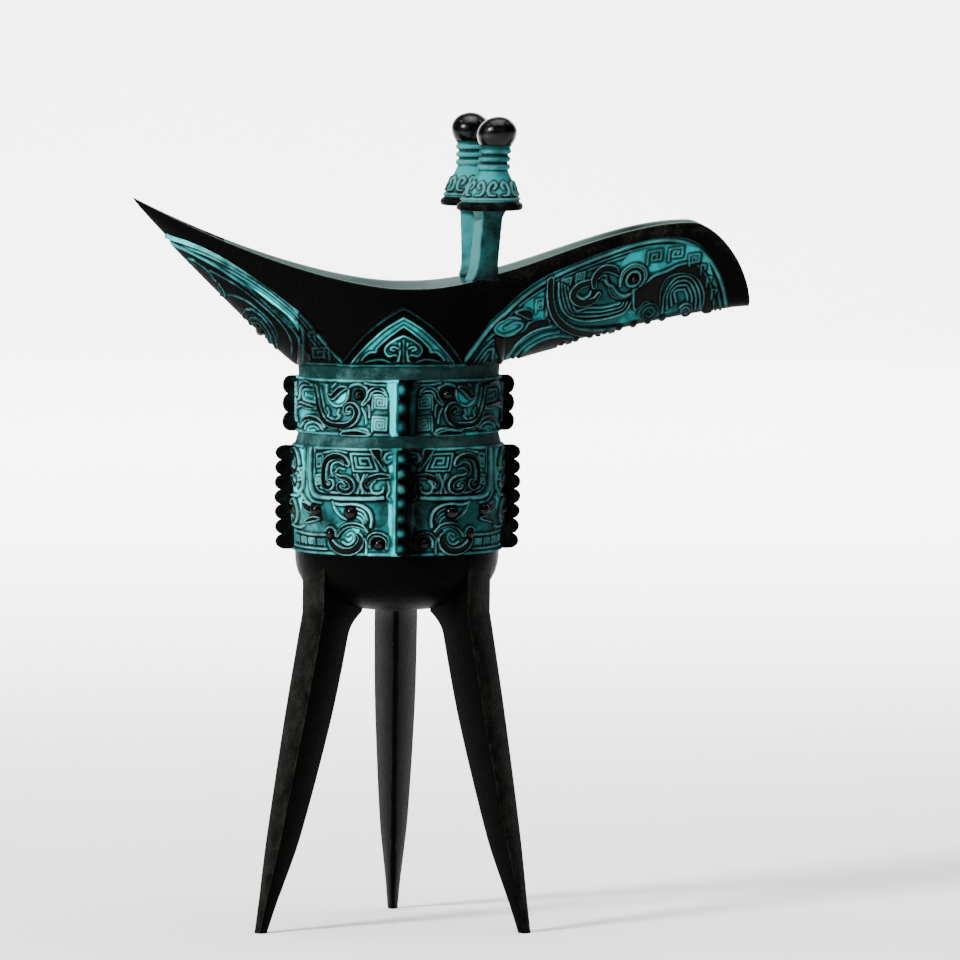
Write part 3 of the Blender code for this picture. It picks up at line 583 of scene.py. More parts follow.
def lower_dragon(carving):
    """A quarter of the wide band, from the front flange: a framed horn over an eye and a coiled jaw."""
    line, band, ball, mass, pool = carving.line, carving.band, carving.ball, carving.mass, carving.pool
    # Ground under the frame, and the bright strip beside the flange
    pool([(4.2, 15.0), (12.0, 14.6), (17.0, 14.4), (22.0, 14.2), (23.0, 8.6), (20.6, 6.6), (16.0, 8.6),
          (10.0, 9.4), (6.0, 7.4), (3.6, 9.0), (3.4, 13.0)], 0.72)
    pool([(1.8, 27.8), (4.4, 27.6), (4.4, 23.2), (3.6, 20.0), (3.3, 16.0), (3.0, 4.0), (2.0, 1.0),
          (1.5, 12.0)], 1.62)
    # Borders along the flange, the top and the foot
    line(straight((1.5, 0.0), (1.5, 28.3)), 0.4, 0.7, 1.3)
    line(straight((0.0, 27.9), (41.0, 27.9)), 0.6, 0.6, 1.5)
    line(straight((0.0, 0.45), (41.0, 0.45)), 0.6, 0.6, 1.3)
    # Frame of three nested corners
    frames = ((27.7, 13.6, 0.5, 0.6), (26.1, 15.0, 0.95, 0.95), (24.8, 16.4, 0.45, 0.5))
    for right, low, width, height in frames:
        corner = [(right, 27.4), (right, 23.0), (right - 0.1, low + 4.2), (right - 0.8, low + 1.6),
                  (right - 2.6, low + 0.25), (right - 5.6, low), (14.0, low), (8.0, low + 0.1),
                  (4.6, low + 0.4)]
        line(corner[:6] if low < 14.0 else corner, width, height)
    # Square spirals and fillers in the frame
    line(fret((23.0, 24.4), 2.7, 4.8, 2), 0.4)
    line(fret((23.2, 19.4), 2.2, 3.4, 2), 0.4)
    line([(22.4, 17.6), (17.6, 16.4), (13.8, 16.5)], 0.4)
    line([(14.4, 27.0), (17.6, 27.3), (21.4, 26.8)], 0.4)
    line(straight((13.2, 26.7), (7.6, 26.7), (5.9, 22.3), (12.3, 22.2), (13.2, 26.7)), 0.42)
    line(straight((12.0, 25.7), (11.5, 23.2), (7.5, 23.2), (8.5, 25.6), (10.8, 25.6), (10.5, 24.2),
                  (9.2, 24.2)), 0.42)
    # Curl and hook between the frame and the flange
    mass([(8.0, 28.0), (5.4, 28.0), (5.0, 25.8), (4.0, 22.3), (5.6, 24.4)], 1.0)
    line([(1.8, 27.2), (3.6, 27.0), (4.4, 25.8), (3.8, 24.5), (2.9, 24.9)], 0.5, 0.6)
    band([(2.9, 20.9), (5.4, 21.0), (7.6, 20.4), (8.7, 19.2), (8.4, 18.0)], 1.35, ends=(0.6, 0.5))
    line(scroll((6.0, 17.9), 1.9, 70, -0.72, inner=0.75), 0.45, 0.5)
    line([(3.4, 19.6), (3.0, 17.4), (3.6, 15.6), (2.6, 14.6)], 0.45, 0.6)
    # Two pairs of stems
    for bend in (0.0, 0.75):
        line([(12.2 - bend, 21.4), (11.0 - bend * 0.6, 19.4), (11.0 - bend * 0.6, 18.0),
              (12.0 - bend, 16.4)], 0.38)
        line([(8.7 + bend, 21.4), (9.9 + bend * 0.4, 19.4), (9.9 + bend * 0.4, 18.0), (9.0 + bend, 16.4)],
             0.38)
    # Horn: a hook with a broad coil over it
    band([(17.9, 21.7), (16.2, 20.6), (14.4, 20.3), (12.9, 19.4), (12.5, 17.8), (13.7, 16.8),
          (15.4, 17.0), (16.3, 18.1), (15.6, 19.0), (14.7, 18.4)], 1.35, ends=(0.4, 0.6))
    band([(13.9, 24.0), (14.8, 25.3), (16.6, 25.9), (18.7, 25.6), (20.2, 24.4), (20.8, 22.4),
          (20.9, 20.3), (20.4, 18.4), (19.3, 17.7), (18.3, 18.4), (18.5, 19.4), (19.3, 19.5)], 1.75,
         ends=(0.7, 0.5))
    line([(15.2, 23.8), (16.6, 24.5), (18.4, 23.9), (18.9, 22.2), (18.3, 20.8)], 0.4)
    line([(15.0, 22.6), (16.6, 22.9), (17.4, 22.0)], 0.4)
    # Eye under a hood of three feathers
    pool([(17.6, 13.8), (12.3, 13.4), (9.0, 12.6), (7.6, 10.4), (7.7, 8.0), (10.4, 9.6), (13.0, 9.2),
          (16.0, 10.2)], 0.95)
    line([(18.0, 14.0), (16.0, 13.4), (12.3, 13.6), (9.8, 13.1), (8.0, 11.7), (7.4, 9.7), (7.6, 7.7)],
         0.6, 0.95, 1.9)
    line([(18.0, 14.0), (17.3, 12.0), (15.8, 10.4), (14.2, 9.6)], 0.5, 0.8)
    for inset in (0.0, 1.1, 2.2):
        line([(11.6 - inset * 0.1, 12.5 - inset), (9.6 + inset * 0.25, 11.6 - inset * 0.9),
              (8.6 + inset * 0.4, 9.4 - inset * 0.6)], 0.4)
    ball((13.0, 11.3), 1.7)
    # Second eye, farther round
    line([(30.6, 15.8), (28.6, 14.2), (25.6, 13.2)], 0.5, 0.7)
    mass([(30.0, 13.4), (27.6, 13.4), (25.4, 12.4), (25.6, 10.9), (28.4, 11.6)], 0.8)
    ball((24.2, 11.5), 1.7)
    # Jaw: a broad coil that holds a small one, with a boss on its end
    band([(22.6, 9.4), (25.0, 9.2), (27.9, 8.4)], 1.2, 0.9, ends=(0.5, 0.6))
    band([(18.9, 5.0), (18.3, 3.2), (16.6, 1.7), (14.2, 1.1), (11.9, 1.6), (10.4, 3.2), (10.2, 4.9),
          (11.0, 5.9)], 1.9, ends=(0.7, 0.5))
    band([(16.6, 4.9), (15.8, 6.6), (14.2, 7.8), (12.2, 8.2), (10.0, 7.7), (8.4, 6.4)], 1.0,
         ends=(0.4, 0.5))
    pool([(14.8, 6.2), (12.6, 7.2), (10.6, 6.8), (11.6, 5.6), (12.0, 4.2), (14.0, 3.6)], 1.5)
    line([(15.3, 3.6), (13.8, 2.9), (12.3, 3.7), (11.9, 5.0), (12.7, 6.0), (13.9, 5.4)], 0.5, 0.7, 1.9)
    ball((18.9, 5.6), 1.4)
    line(scroll((18.9, 5.6), 1.75, 20, 0.5, inner=1.0), 0.4, 0.8)
    # Small coil and boss by the flange
    band([(7.9, 2.4), (8.1, 4.4), (6.9, 5.7), (4.9, 5.6), (3.5, 4.4), (3.6, 2.2)], 1.0, ends=(0.5, 0.6))
    ball((5.6, 3.2), 1.45)
    line([(8.9, 0.8), (8.8, 3.0), (9.2, 4.6)], 0.4)
    # Row of square spirals along the foot
    for place, height in ((22.4, 3.2), (26.2, 3.3), (30.0, 3.4), (33.8, 3.5)):
        line(fret((place, height), 2.9, 1.9, 2), 0.36)
    line([(20.8, 5.2), (27.0, 5.1), (36.0, 5.6)], 0.45, 0.5)
    line([(20.4, 1.5), (27.0, 1.5), (37.0, 1.7)], 0.45, 0.5)
    # Scrolls and a boss beside the side flange
    pool([(29.4, 27.0), (36.0, 27.0), (39.0, 22.0), (38.4, 16.0), (33.0, 9.0), (30.4, 16.0),
          (29.2, 22.0)], 1.35)
    line([(29.2, 27.4), (29.2, 22.0), (29.9, 17.4), (33.0, 15.0), (39.6, 14.6)], 0.6, 0.7)
    band([(39.4, 26.2), (36.4, 26.6), (33.6, 25.2), (32.6, 22.8), (34.4, 21.2), (36.6, 22.0),
          (36.4, 23.6)], 1.7, ends=(0.5, 0.5))
    band([(39.4, 19.6), (36.4, 19.0), (33.6, 17.6), (32.2, 19.4), (33.2, 20.6)], 1.5, ends=(0.5, 0.5))
    band([(39.0, 12.6), (36.2, 13.2), (34.0, 12.0), (33.4, 9.6), (35.4, 8.2), (37.4, 9.2)], 1.7,
         ends=(0.5, 0.6))
    ball((36.2, 10.8), 1.2)
    line(fret((31.4, 20.4), 1.8, 4.4, 2), 0.38)
    line([(29.4, 7.2), (32.2, 6.6), (39.8, 6.8)], 0.5, 0.6)


def upper_dragon(carving):
    """A quarter of the narrow band, from the front flange: two spirals, an eye and a coiled body."""
    line, band, ball, mass, pool = carving.line, carving.band, carving.ball, carving.mass, carving.pool
    # Borders along the top, the foot and the flange
    line(straight((0.0, 14.4), (41.0, 14.4)), 0.6, 0.6, 1.5)
    line(straight((0.0, 0.45), (41.0, 0.45)), 0.6, 0.6, 1.3)
    line(straight((1.7, 0.0), (1.7, 14.8)), 0.4, 0.6, 1.3)
    line(straight((3.1, 12.2), (3.1, 1.0)), 0.38, 0.4, 1.3)
    # Two square spirals beside the flange
    for height in (3.2, 9.0):
        line(fret((5.7, height), 4.2, 4.2, 3, -1), 0.44, 0.55, 1.8)
    line([(8.6, 5.0), (8.6, 7.6), (9.6, 8.6)], 0.4, 0.5)
    line([(9.4, 3.4), (9.6, 5.4), (10.6, 7.4)], 0.4, 0.5)
    # Ground round the eye, and the bright strip beside the flange
    pool([(9.0, 13.8), (12.0, 14.0), (14.6, 13.2), (14.6, 9.2), (12.2, 8.2), (10.0, 9.6)], 0.7)
    pool([(2.4, 14.0), (4.4, 13.8), (4.0, 12.2), (3.2, 8.0), (3.2, 1.0), (2.2, 0.6), (2.0, 7.0)], 1.62)
    # Eye under its hood, with a crest
    line([(9.0, 10.4), (9.4, 12.6), (11.4, 13.6), (13.8, 13.0), (14.4, 11.0)], 0.6, 0.8, 1.5)
    band([(10.3, 8.4), (9.0, 9.9), (8.3, 11.6), (6.9, 12.4), (5.2, 12.1), (4.1, 10.9)], 1.1,
         ends=(0.7, 0.4), core=0.3)
    ball((11.6, 10.8), 1.25)
    line([(4.6, 13.4), (7.4, 13.5), (10.0, 13.9)], 0.4)
    # Bright hollow in the body's bend, with its rim and a tongue
    pool([(20.8, 11.6), (20.4, 9.3), (18.8, 8.2), (16.4, 8.2), (14.9, 9.2), (14.5, 11.2), (15.8, 11.4),
          (18.2, 10.0)], 1.6)
    line([(21.3, 13.2), (20.9, 10.4), (19.8, 8.5), (17.8, 7.7), (15.8, 8.2), (14.6, 9.8), (14.3, 12.0)],
         0.5, 0.8, 1.9)
    band([(20.3, 10.4), (19.2, 10.1), (18.0, 11.1), (16.6, 12.2), (15.0, 12.6)], 1.5, ends=(0.6, 0.5))
    line([(19.6, 12.6), (18.4, 13.6)], 0.4, 0.6)
    # Coiled body
    band([(25.4, 12.4), (24.6, 10.0), (23.7, 7.0), (22.3, 4.5), (20.2, 3.0), (17.4, 2.6), (14.4, 2.9),
          (12.4, 4.4), (11.8, 6.4), (12.7, 8.0), (14.2, 8.2), (15.2, 7.2), (14.9, 6.1), (13.9, 6.2)], 1.5,
         ends=(0.8, 0.5))
    line([(23.6, 12.4), (22.9, 9.6), (21.9, 6.8), (20.4, 4.8), (18.4, 4.2)], 0.42, 0.6)
    line([(21.2, 7.2), (20.4, 6.0), (20.8, 4.9)], 0.42, 0.6)
    line([(17.2, 6.9), (17.6, 5.6), (16.8, 5.2), (17.9, 4.3)], 0.5, 0.7, 1.8)
    # Foot under the body
    line([(16.6, 1.5), (14.2, 1.6), (11.2, 2.0), (9.2, 1.6), (8.2, 0.6)], 0.5, 0.9, 1.9)
    mass([(16.0, 1.1), (12.0, 1.5), (9.6, 1.0), (9.0, 0.2), (16.0, 0.2)], 0.8)
    # Bright leaf at the foot
    band([(21.8, 2.2), (23.6, 3.6), (26.8, 4.3), (30.4, 3.8), (33.4, 1.6)], 1.2, ends=(0.5, 0.4))
    pool([(22.6, 1.9), (24.4, 3.0), (27.4, 3.4), (30.4, 2.6), (31.2, 1.1), (26.4, 0.9)], 1.6)
    line([(22.9, 1.4), (24.4, 2.8), (27.2, 3.2), (30.2, 2.4), (31.0, 1.1)], 0.42, 0.6, 1.9)
    line([(24.4, 1.3), (26.4, 2.1), (29.0, 1.7)], 0.4, 0.5)
    # Scrolls beside the side flange
    band([(25.2, 6.9), (29.0, 7.2), (33.6, 7.6), (37.4, 6.4)], 1.1, ends=(0.6, 0.4))
    pool([(25.8, 8.6), (31.6, 9.2), (31.2, 11.0), (26.4, 10.6)], 1.55)
    line([(25.6, 8.3), (31.8, 9.0), (32.0, 11.4), (26.6, 11.6)], 0.42, 0.6)
    line([(27.4, 9.9), (30.4, 10.2)], 0.38, 0.5)
    band([(27.0, 12.9), (31.0, 13.3), (34.0, 12.0), (34.6, 9.8), (36.4, 9.2), (38.0, 10.6)], 1.2,
         ends=(0.5, 0.5))
    band([(39.4, 12.8), (38.4, 8.4), (39.0, 4.6), (36.8, 3.0)], 1.3, ends=(0.6, 0.4))


def spout_dragon(carving):
    """One side of the spout, by x and height over the keel: a border, a leaf and a long dragon."""
    line, band, ball, mass, pool = carving.line, carving.band, carving.ball, carving.mass, carving.pool
    # Border of three lines
    edge = [(15.6, 0.6), (19.0, 5.0), (22.6, 9.6), (26.6, 13.2), (31.6, 16.2), (37.4, 18.4), (44.0, 19.8),
            (52.0, 20.8), (60.0, 21.6), (67.0, 21.5), (73.0, 20.2), (78.0, 17.2), (81.6, 12.8),
            (84.2, 7.4), (85.8, 1.2)]
    borders = ((0.0, 0.7, 0.8, 1.5), (1.25, 0.5, 0.5, 1.4), (2.3, 0.42, 0.45, 1.3))
    for inset, width, height, tone in borders:
        inward = [(52.0 + (x - 52.0) * (1.0 - inset / 34.0), y - inset * 0.92) for x, y in edge]
        line([place for place in inward if place[1] > -1.0], width, height, tone)
    # Dark tongue, and lines in the corner by the neck
    mass([(26.0, 0.3), (29.0, 4.0), (33.6, 6.3), (38.4, 6.6), (38.0, 8.8), (33.6, 9.2), (31.6, 7.4),
          (26.6, 7.6), (24.0, 8.2), (22.0, 6.2), (23.6, 2.6)], 0.75)
    pool([(17.4, 0.6), (20.6, 4.8), (23.4, 7.4), (24.6, 4.0), (25.0, 0.6)], 0.8)
    line([(18.6, 0.8), (21.4, 4.4), (23.8, 6.6)], 0.38)
    line(straight((19.8, 0.8), (22.4, 4.0), (24.0, 4.4), (23.6, 0.8), (21.2, 0.8), (22.6, 2.8)), 0.38)
    # Bright leaf and its bud
    pool([(23.8, 9.6), (25.6, 11.4), (29.0, 11.6), (31.6, 10.0), (31.4, 8.4), (27.0, 7.4), (24.6, 8.0)],
         1.4)
    line([(31.0, 10.8), (28.2, 12.0), (25.2, 11.0), (24.2, 9.0), (26.8, 7.7), (30.4, 7.9), (31.6, 9.2),
          (29.6, 10.2), (27.0, 9.6)], 0.5, 0.75, 1.9)
    mass([(31.6, 11.4), (33.6, 10.0), (34.2, 11.4), (32.2, 13.0), (29.6, 13.0)], 0.9)
    # Panel with a square spiral
    pool([(34.6, 9.2), (38.0, 9.8), (37.8, 16.6), (33.6, 15.2), (31.8, 13.6), (33.8, 12.6)], 1.5)
    line(straight((38.0, 9.4), (38.0, 16.8)), 0.45, 0.6)
    line(fret((36.2, 12.8), 2.2, 3.6, 2), 0.36)
    line([(30.6, 14.4), (34.0, 15.8), (37.6, 16.9)], 0.42, 0.5)
    # Sweeps along the keel
    line([(27.6, 1.4), (31.0, 5.2), (35.0, 6.6), (39.4, 6.4)], 0.6, 0.85, 1.8)
    line([(29.6, 0.8), (32.6, 3.4), (37.0, 4.6), (41.4, 4.2)], 0.55, 0.8, 1.5)
    mass([(31.0, 0.3), (34.0, 2.6), (38.4, 3.4), (42.6, 2.8), (46.0, 0.3)], 0.7)
    # Frame of the dragon, with lines nested in it
    band([(38.8, 18.4), (38.8, 14.0), (39.9, 9.4), (42.6, 5.6), (46.6, 2.8), (52.0, 1.2), (57.0, 0.4)],
         1.7, 0.9)
    pool([(43.6, 17.8), (54.0, 14.6), (61.0, 6.0), (58.0, 4.6), (46.0, 5.4), (41.8, 10.0)], 0.8)
    line(fret((43.2, 16.6), 3.0, 2.6, 2), 0.4)
    line(fret((46.9, 17.1), 2.6, 2.6, 2), 0.4)
    for inset in (0.0, 1.0, 2.0, 3.0):
        line([(41.0 + inset * 0.8, 17.2 - inset * 0.6), (41.2 + inset, 13.0), (43.0 + inset * 0.9, 8.6),
              (47.4 + inset * 0.5, 5.4 + inset), (53.0, 4.4 + inset),
              (58.2 - inset * 0.4, 4.6 + inset * 0.9), (60.4 - inset, 7.0 + inset * 0.2)], 0.42,
             0.8 if inset == 0.0 else 0.5, 1.9 if inset == 0.0 else 1.6)
    # Coil, and a horn with lines beside it
    band([(49.6, 15.0), (46.6, 14.9), (44.9, 13.4), (45.6, 11.4), (47.8, 10.1), (50.4, 10.2),
          (51.6, 11.4)], 1.9, ends=(0.8, 0.6))
    line([(45.9, 12.6), (47.4, 11.4), (49.0, 11.6), (49.6, 12.6)], 0.45, 0.9, 1.9)
    band([(50.4, 13.6), (50.5, 15.8), (52.6, 17.6), (55.4, 16.8), (57.4, 14.4)], 1.8, ends=(0.6, 0.3))
    for inset in (0.0, 1.0, 2.0):
        line([(51.6 + inset * 0.8, 15.4 - inset * 0.5), (53.4 + inset * 0.3, 15.8 - inset * 1.3),
              (54.2 + inset * 0.5, 12.6), (55.6 + inset * 0.6, 9.6 + inset * 0.3),
              (58.6, 8.4 + inset * 0.4), (60.4, 9.4)], 0.42, 0.6, 1.8)
    # Dark smooth body, and the bright ground over it
    mass([(60.8, 10.2), (63.4, 11.0), (66.0, 12.6), (69.6, 13.2), (73.2, 14.2), (77.0, 13.6),
          (79.8, 10.4), (81.6, 6.0), (82.2, 1.0), (79.4, 1.0), (79.6, 5.6), (77.4, 10.0), (73.6, 11.9),
          (69.6, 11.4), (68.0, 8.4), (67.6, 3.8), (64.4, 6.6), (61.4, 5.0)], 1.0)
    pool([(57.6, 17.4), (60.4, 15.2), (64.4, 14.0), (68.6, 13.9), (73.4, 15.0), (77.8, 14.2), (81.0, 9.6),
          (82.6, 5.6), (80.0, 15.0), (75.0, 19.0), (68.0, 20.0), (60.0, 20.0)], 1.35)
    # Eye
    band([(57.2, 12.0), (57.9, 15.2), (60.6, 16.6), (63.4, 15.2), (63.9, 12.6), (62.4, 10.8)], 0.85,
         ends=(0.5, 0.5), core=0.7)
    line(scroll((60.8, 13.0), 1.9, 0, 1.0, inner=1.0), 0.5, 0.8, 1.8)
    ball((60.8, 13.0), 1.0)
    # Square spirals along the border
    line(fret((66.6, 17.6), 4.3, 3.4, 2), 0.42, 0.6, 1.6)
    line(fret((72.2, 17.3), 4.3, 3.2, 2), 0.42, 0.6, 1.6)
    line(fret((77.0, 14.9), 3.2, 2.8, 2), 0.4, 0.6, 1.6)
    for x, y in ((79.4, 12.0), (81.0, 8.6), (82.4, 5.2)):
        line(fret((x, y), 1.9, 2.6, 1), 0.36, 0.6, 1.6)
    # Nested arch under the body, and curls on the keel
    for inset in (0.0, 1.2, 2.4, 3.6):
        line([(68.8 + inset, 2.2 + inset * 0.6), (69.2 + inset * 0.7, 7.0),
              (71.4 + inset * 0.3, 10.4 - inset * 0.8), (74.4, 10.9 - inset),
              (77.0 - inset * 0.7, 9.0 - inset * 0.5), (78.6 - inset * 0.9, 5.0), (78.8 - inset, 1.6)],
             0.45, 0.6, 1.8)
    band(scroll((75.0, 1.8), 1.7, 140, -1.2, inner=0.3), 0.8, 0.9)
    band(scroll((65.2, 3.4), 2.5, 170, -1.5, inner=0.25, squash=0.9), 0.85, 0.95, edge=1.2)
    # Shade and beads along the keel
    carving.tone *= 0.35 + 0.65 * ease((carving.up - 0.6) / 1.6)
    for place in (42.6, 46.4, 50.2, 54.0, 57.8, 61.6, 65.4, 69.2):
        ball((place, 0.4), 0.9, 0.6, 0.35)


def tail_feathers(carving):
    """One side of the tail, by distance toward its tip and height over the keel: long bands and curls."""
    line, band, ball, mass = carving.line, carving.band, carving.ball, carving.mass
    spine = np.array([(14.6, 0.2), (18.0, 3.6), (21.6, 7.8), (25.0, 12.0), (27.0, 13.7), (30.6, 14.0),
                      (36.0, 13.2), (43.0, 11.0), (50.0, 7.9), (56.0, 4.2), (61.4, 0.4)])

    def lowered(drop):
        """The spine moved down by a drop, and along by a share of it that turns round with the spine."""
        path = spine.copy()
        path[:, 1] -= drop
        path[:, 0] += drop * np.interp(spine[:, 0], (14.0, 27.0, 61.0), (0.9, 0.35, -0.55))
        return [tuple(place) for place in path if place[1] > -0.8]

    # Long bands, bright from the bend to the tip
    carving.tone *= np.where(carving.across > 27.0, 1.5, 0.5)
    bands = ((0.0, 0.65, 0.8, 1.6), (1.0, 0.42, 0.5, 1.5), (2.0, 0.42, 0.45, 1.4), (4.6, 0.5, 0.7, 1.8))
    for drop, width, height, tone in bands:
        line(lowered(drop), width, height, tone)
    # Dark ground under the bands, with two lines
    mass([(60.0, 0.0), (54.0, 3.4), (46.0, 6.9), (38.0, 8.6), (31.0, 8.8), (27.4, 8.0), (26.0, 5.0),
          (26.0, 0.0)], 0.6, 0.2, 1.3)
    line([(55.0, 0.4), (49.0, 4.0), (42.0, 6.9), (36.0, 7.9), (31.0, 7.7), (28.4, 5.6), (28.0, 2.0)], 0.5,
         0.9, 1.8)
    line([(46.0, 1.2), (43.0, 3.6), (39.4, 5.4), (35.4, 5.9), (32.6, 5.0), (31.4, 2.6)], 0.5, 0.9, 1.6)
    # Curls
    for reach, tone in ((4.2, 0.0), (2.6, 0.2)):
        band(scroll((36.2, 0.4), reach, 4, 0.48, inner=1.0), 1.1, 1.0, core=tone)
    ball((36.4, 0.6), 1.1)
    band([(47.6, 2.4), (46.0, 1.4), (46.6, 0.2)], 1.0, 1.0, ends=(0.8, 0.5))
    band([(56.0, 0.6), (53.0, 2.0), (50.2, 2.7), (48.2, 2.4)], 0.8, 0.9, ends=(0.3, 0.6))
    # Square spirals by the neck
    line(fret((21.2, 3.2), 5.0, 3.6, 2), 0.42, 0.6, 1.4)
    line(fret((23.6, 8.0), 2.2, 3.0, 1), 0.42, 0.6, 1.4)
    line(straight((16.2, 0.5), (25.0, 0.5)), 0.5, 0.6, 1.4)
    line([(25.2, 0.2), (25.2, 5.0), (25.8, 9.6), (27.4, 11.2)], 0.5, 0.7, 1.4)
    # Duller under the bands and by the neck
    rise = np.interp(carving.across, spine[:, 0], spine[:, 1]) - carving.up
    dim = (rise > 3.4) | (carving.across < 27.0)
    carving.pale *= np.where(dim, 0.4, 0.8)
    carving.tone *= np.where(dim & (carving.tone > 0.0), 0.62, 1.0)


def neck_leaf(carving):
    """Pointed leaf over the front or back flange with a heart on a stem; it mirrors left to right."""
    line, mass, pool = carving.line, carving.mass, carving.pool
    carving.tone[:] = 0.0
    # Outer and inner border
    line([(-1.0, 15.4), (0.0, 15.2), (2.6, 13.9), (7.0, 10.7), (10.6, 7.2), (13.2, 4.0), (15.6, 0.3)],
         0.6, 0.8, 0.55)
    mass([(-1.0, 13.3), (0.0, 12.9), (4.4, 10.2), (8.4, 6.6), (11.6, 3.0), (13.4, 0.2), (11.0, 0.2),
          (10.2, 2.2), (8.6, 3.7), (7.0, 3.9), (6.6, 5.0), (3.6, 7.9), (0.0, 10.6), (-1.0, 11.0)], 0.75,
         1.0, 1.3)
    # Heart with its curls
    mass([(-1.0, 8.6), (0.0, 8.2), (2.2, 7.2), (4.3, 5.6), (4.8, 4.2), (3.8, 2.8), (2.0, 3.1), (1.2, 2.0),
          (2.4, 0.9), (-1.0, 0.9)], 0.75, 0.9, 1.25)
    pool([(1.0, 5.2), (2.2, 5.8), (3.5, 4.9), (3.2, 3.9), (1.8, 4.0), (0.9, 3.2)], 0.6, 0.2)
    line([(1.0, 6.2), (0.9, 3.6), (1.3, 1.6)], 0.4, 0.9, 1.35)
    line([(1.4, 4.9), (2.6, 5.3), (3.3, 4.6), (2.4, 4.3)], 0.4, 0.9, 1.4)
    # Stem and foot
    line(straight((0.0, 0.4), (0.0, 7.0)), 0.4, 0.5, 0.6)
    line([(2.6, 0.8), (5.4, 1.9), (8.6, 1.5), (11.0, 0.4)], 0.5, 0.7, 0.8)
    line(straight((0.0, 0.3), (16.4, 0.3)), 0.5, 0.6, 0.8)


def cap_scrolls(carving, pitch):
    """One pair of C-scrolls on a cap's skirt, by distance round it and along it, pale where they stand."""
    knots = ((0.9, 1.5), (1.9, 1.7), (2.3, 2.9), (2.0, 4.3), (1.2, 4.9), (0.6, 4.1), (1.1, 3.2))
    carving.line(straight((0.0, 0.5), (pitch, 0.5)), 0.5, 0.9, 2.1)
    for way in (-1, 1):
        path = [(pitch / 2 + way * x, y) for x, y in knots]
        carving.band(path, 0.4, 1.0, ends=(0.7, 0.8), core=1.0, edge=2.0)
        carving.pale[carving.height > 0.4] = 1.0


class Node:
    """A shader socket whose arithmetic adds Math nodes."""

    def __init__(self, shader, socket):
        self.shader = shader
        self.socket = socket

    def math(self, operation, *others):
        """A Math node over this number and others."""
        values = dict(enumerate((self,) + others))
        return self.shader.node("ShaderNodeMath", {"operation": operation}, values)

    def __add__(self, other):
        return self.math("ADD", other)

    def __sub__(self, other):
        return self.math("SUBTRACT", other)

    def __rsub__(self, other):
        return self.shader.node("ShaderNodeMath", {"operation": "SUBTRACT"}, {0: other, 1: self})

    def __mul__(self, other):
        return self.math("MULTIPLY", other)

    __radd__ = __add__
    __rmul__ = __mul__

    def maximum(self, other):
        """The larger of two numbers."""
        return self.math("MAXIMUM", other)

    def between(self, low, high):
        """0 under low and 1 over high, with a soft run between them."""
        settings = {"interpolation_type": "SMOOTHSTEP"}
        values = {"Value": self, "From Min": low, "From Max": high}
        return self.shader.node("ShaderNodeMapRange", settings, values)


class Shader:
    """Builds one material's nodes."""

    def __init__(self, name):
        self.material = bpy.data.materials.new(name)
        self.material.use_nodes = True
        self.tree = self.material.node_tree
        self.surface = self.tree.nodes["Principled BSDF"]
        self.places = self.node("ShaderNodeTexCoord", {}, {}, "Object")

    def node(self, kind, settings, values, output=0):
        """Add a node, set it up, fill its sockets and give one of its outputs."""
        made = self.tree.nodes.new(kind)
        for name, value in settings.items():
            setattr(made, name, value)
        for name, value in values.items():
            self.feed(made.inputs[name], value)
        return Node(self, made.outputs[output])

    def feed(self, socket, value):
        """Put a link, a colour, a vector or a number into a socket."""
        if isinstance(value, Node):
            self.tree.links.new(value.socket, socket)
        elif socket.type == "RGBA":
            socket.default_value = (*value, 1.0)
        else:
            socket.default_value = value

    def noise(self, scale, detail=3.0, roughness=0.55):
        """Cloudy noise over the piece, from 0 to 1 and mostly near a half."""
        values = {"Vector": self.places, "Scale": scale, "Detail": detail, "Roughness": roughness}
        return self.node("ShaderNodeTexNoise", {}, values)

    def separate(self, vector, part):
        """One number of a vector: 0, 1 or 2 for X, Y or Z."""
        return self.node("ShaderNodeSeparateXYZ", {}, {"Vector": vector}, part)

    def attribute(self, name):
        """A number kept with the mesh."""
        return self.node("ShaderNodeAttribute", {"attribute_name": name}, {}, "Fac")

    def mix(self, share, first, second):
        """Blend of two colours; the sockets go by number, because each kind of data has its own."""
        return self.node("ShaderNodeMix", {"data_type": "RGBA"}, {0: share, 6: first, 7: second}, 2)

    def bump(self, height, distance, strength):
        """Fine relief under the resolution of the mesh."""
        return self.node("ShaderNodeBump", {}, {"Height": height, "Distance": distance, "Strength": strength})

    def set(self, **values):
        """Fill sockets of the surface; a double underscore stands for a blank."""
        for name, value in values.items():
            self.feed(self.surface.inputs[name.replace("__", " ")], value)


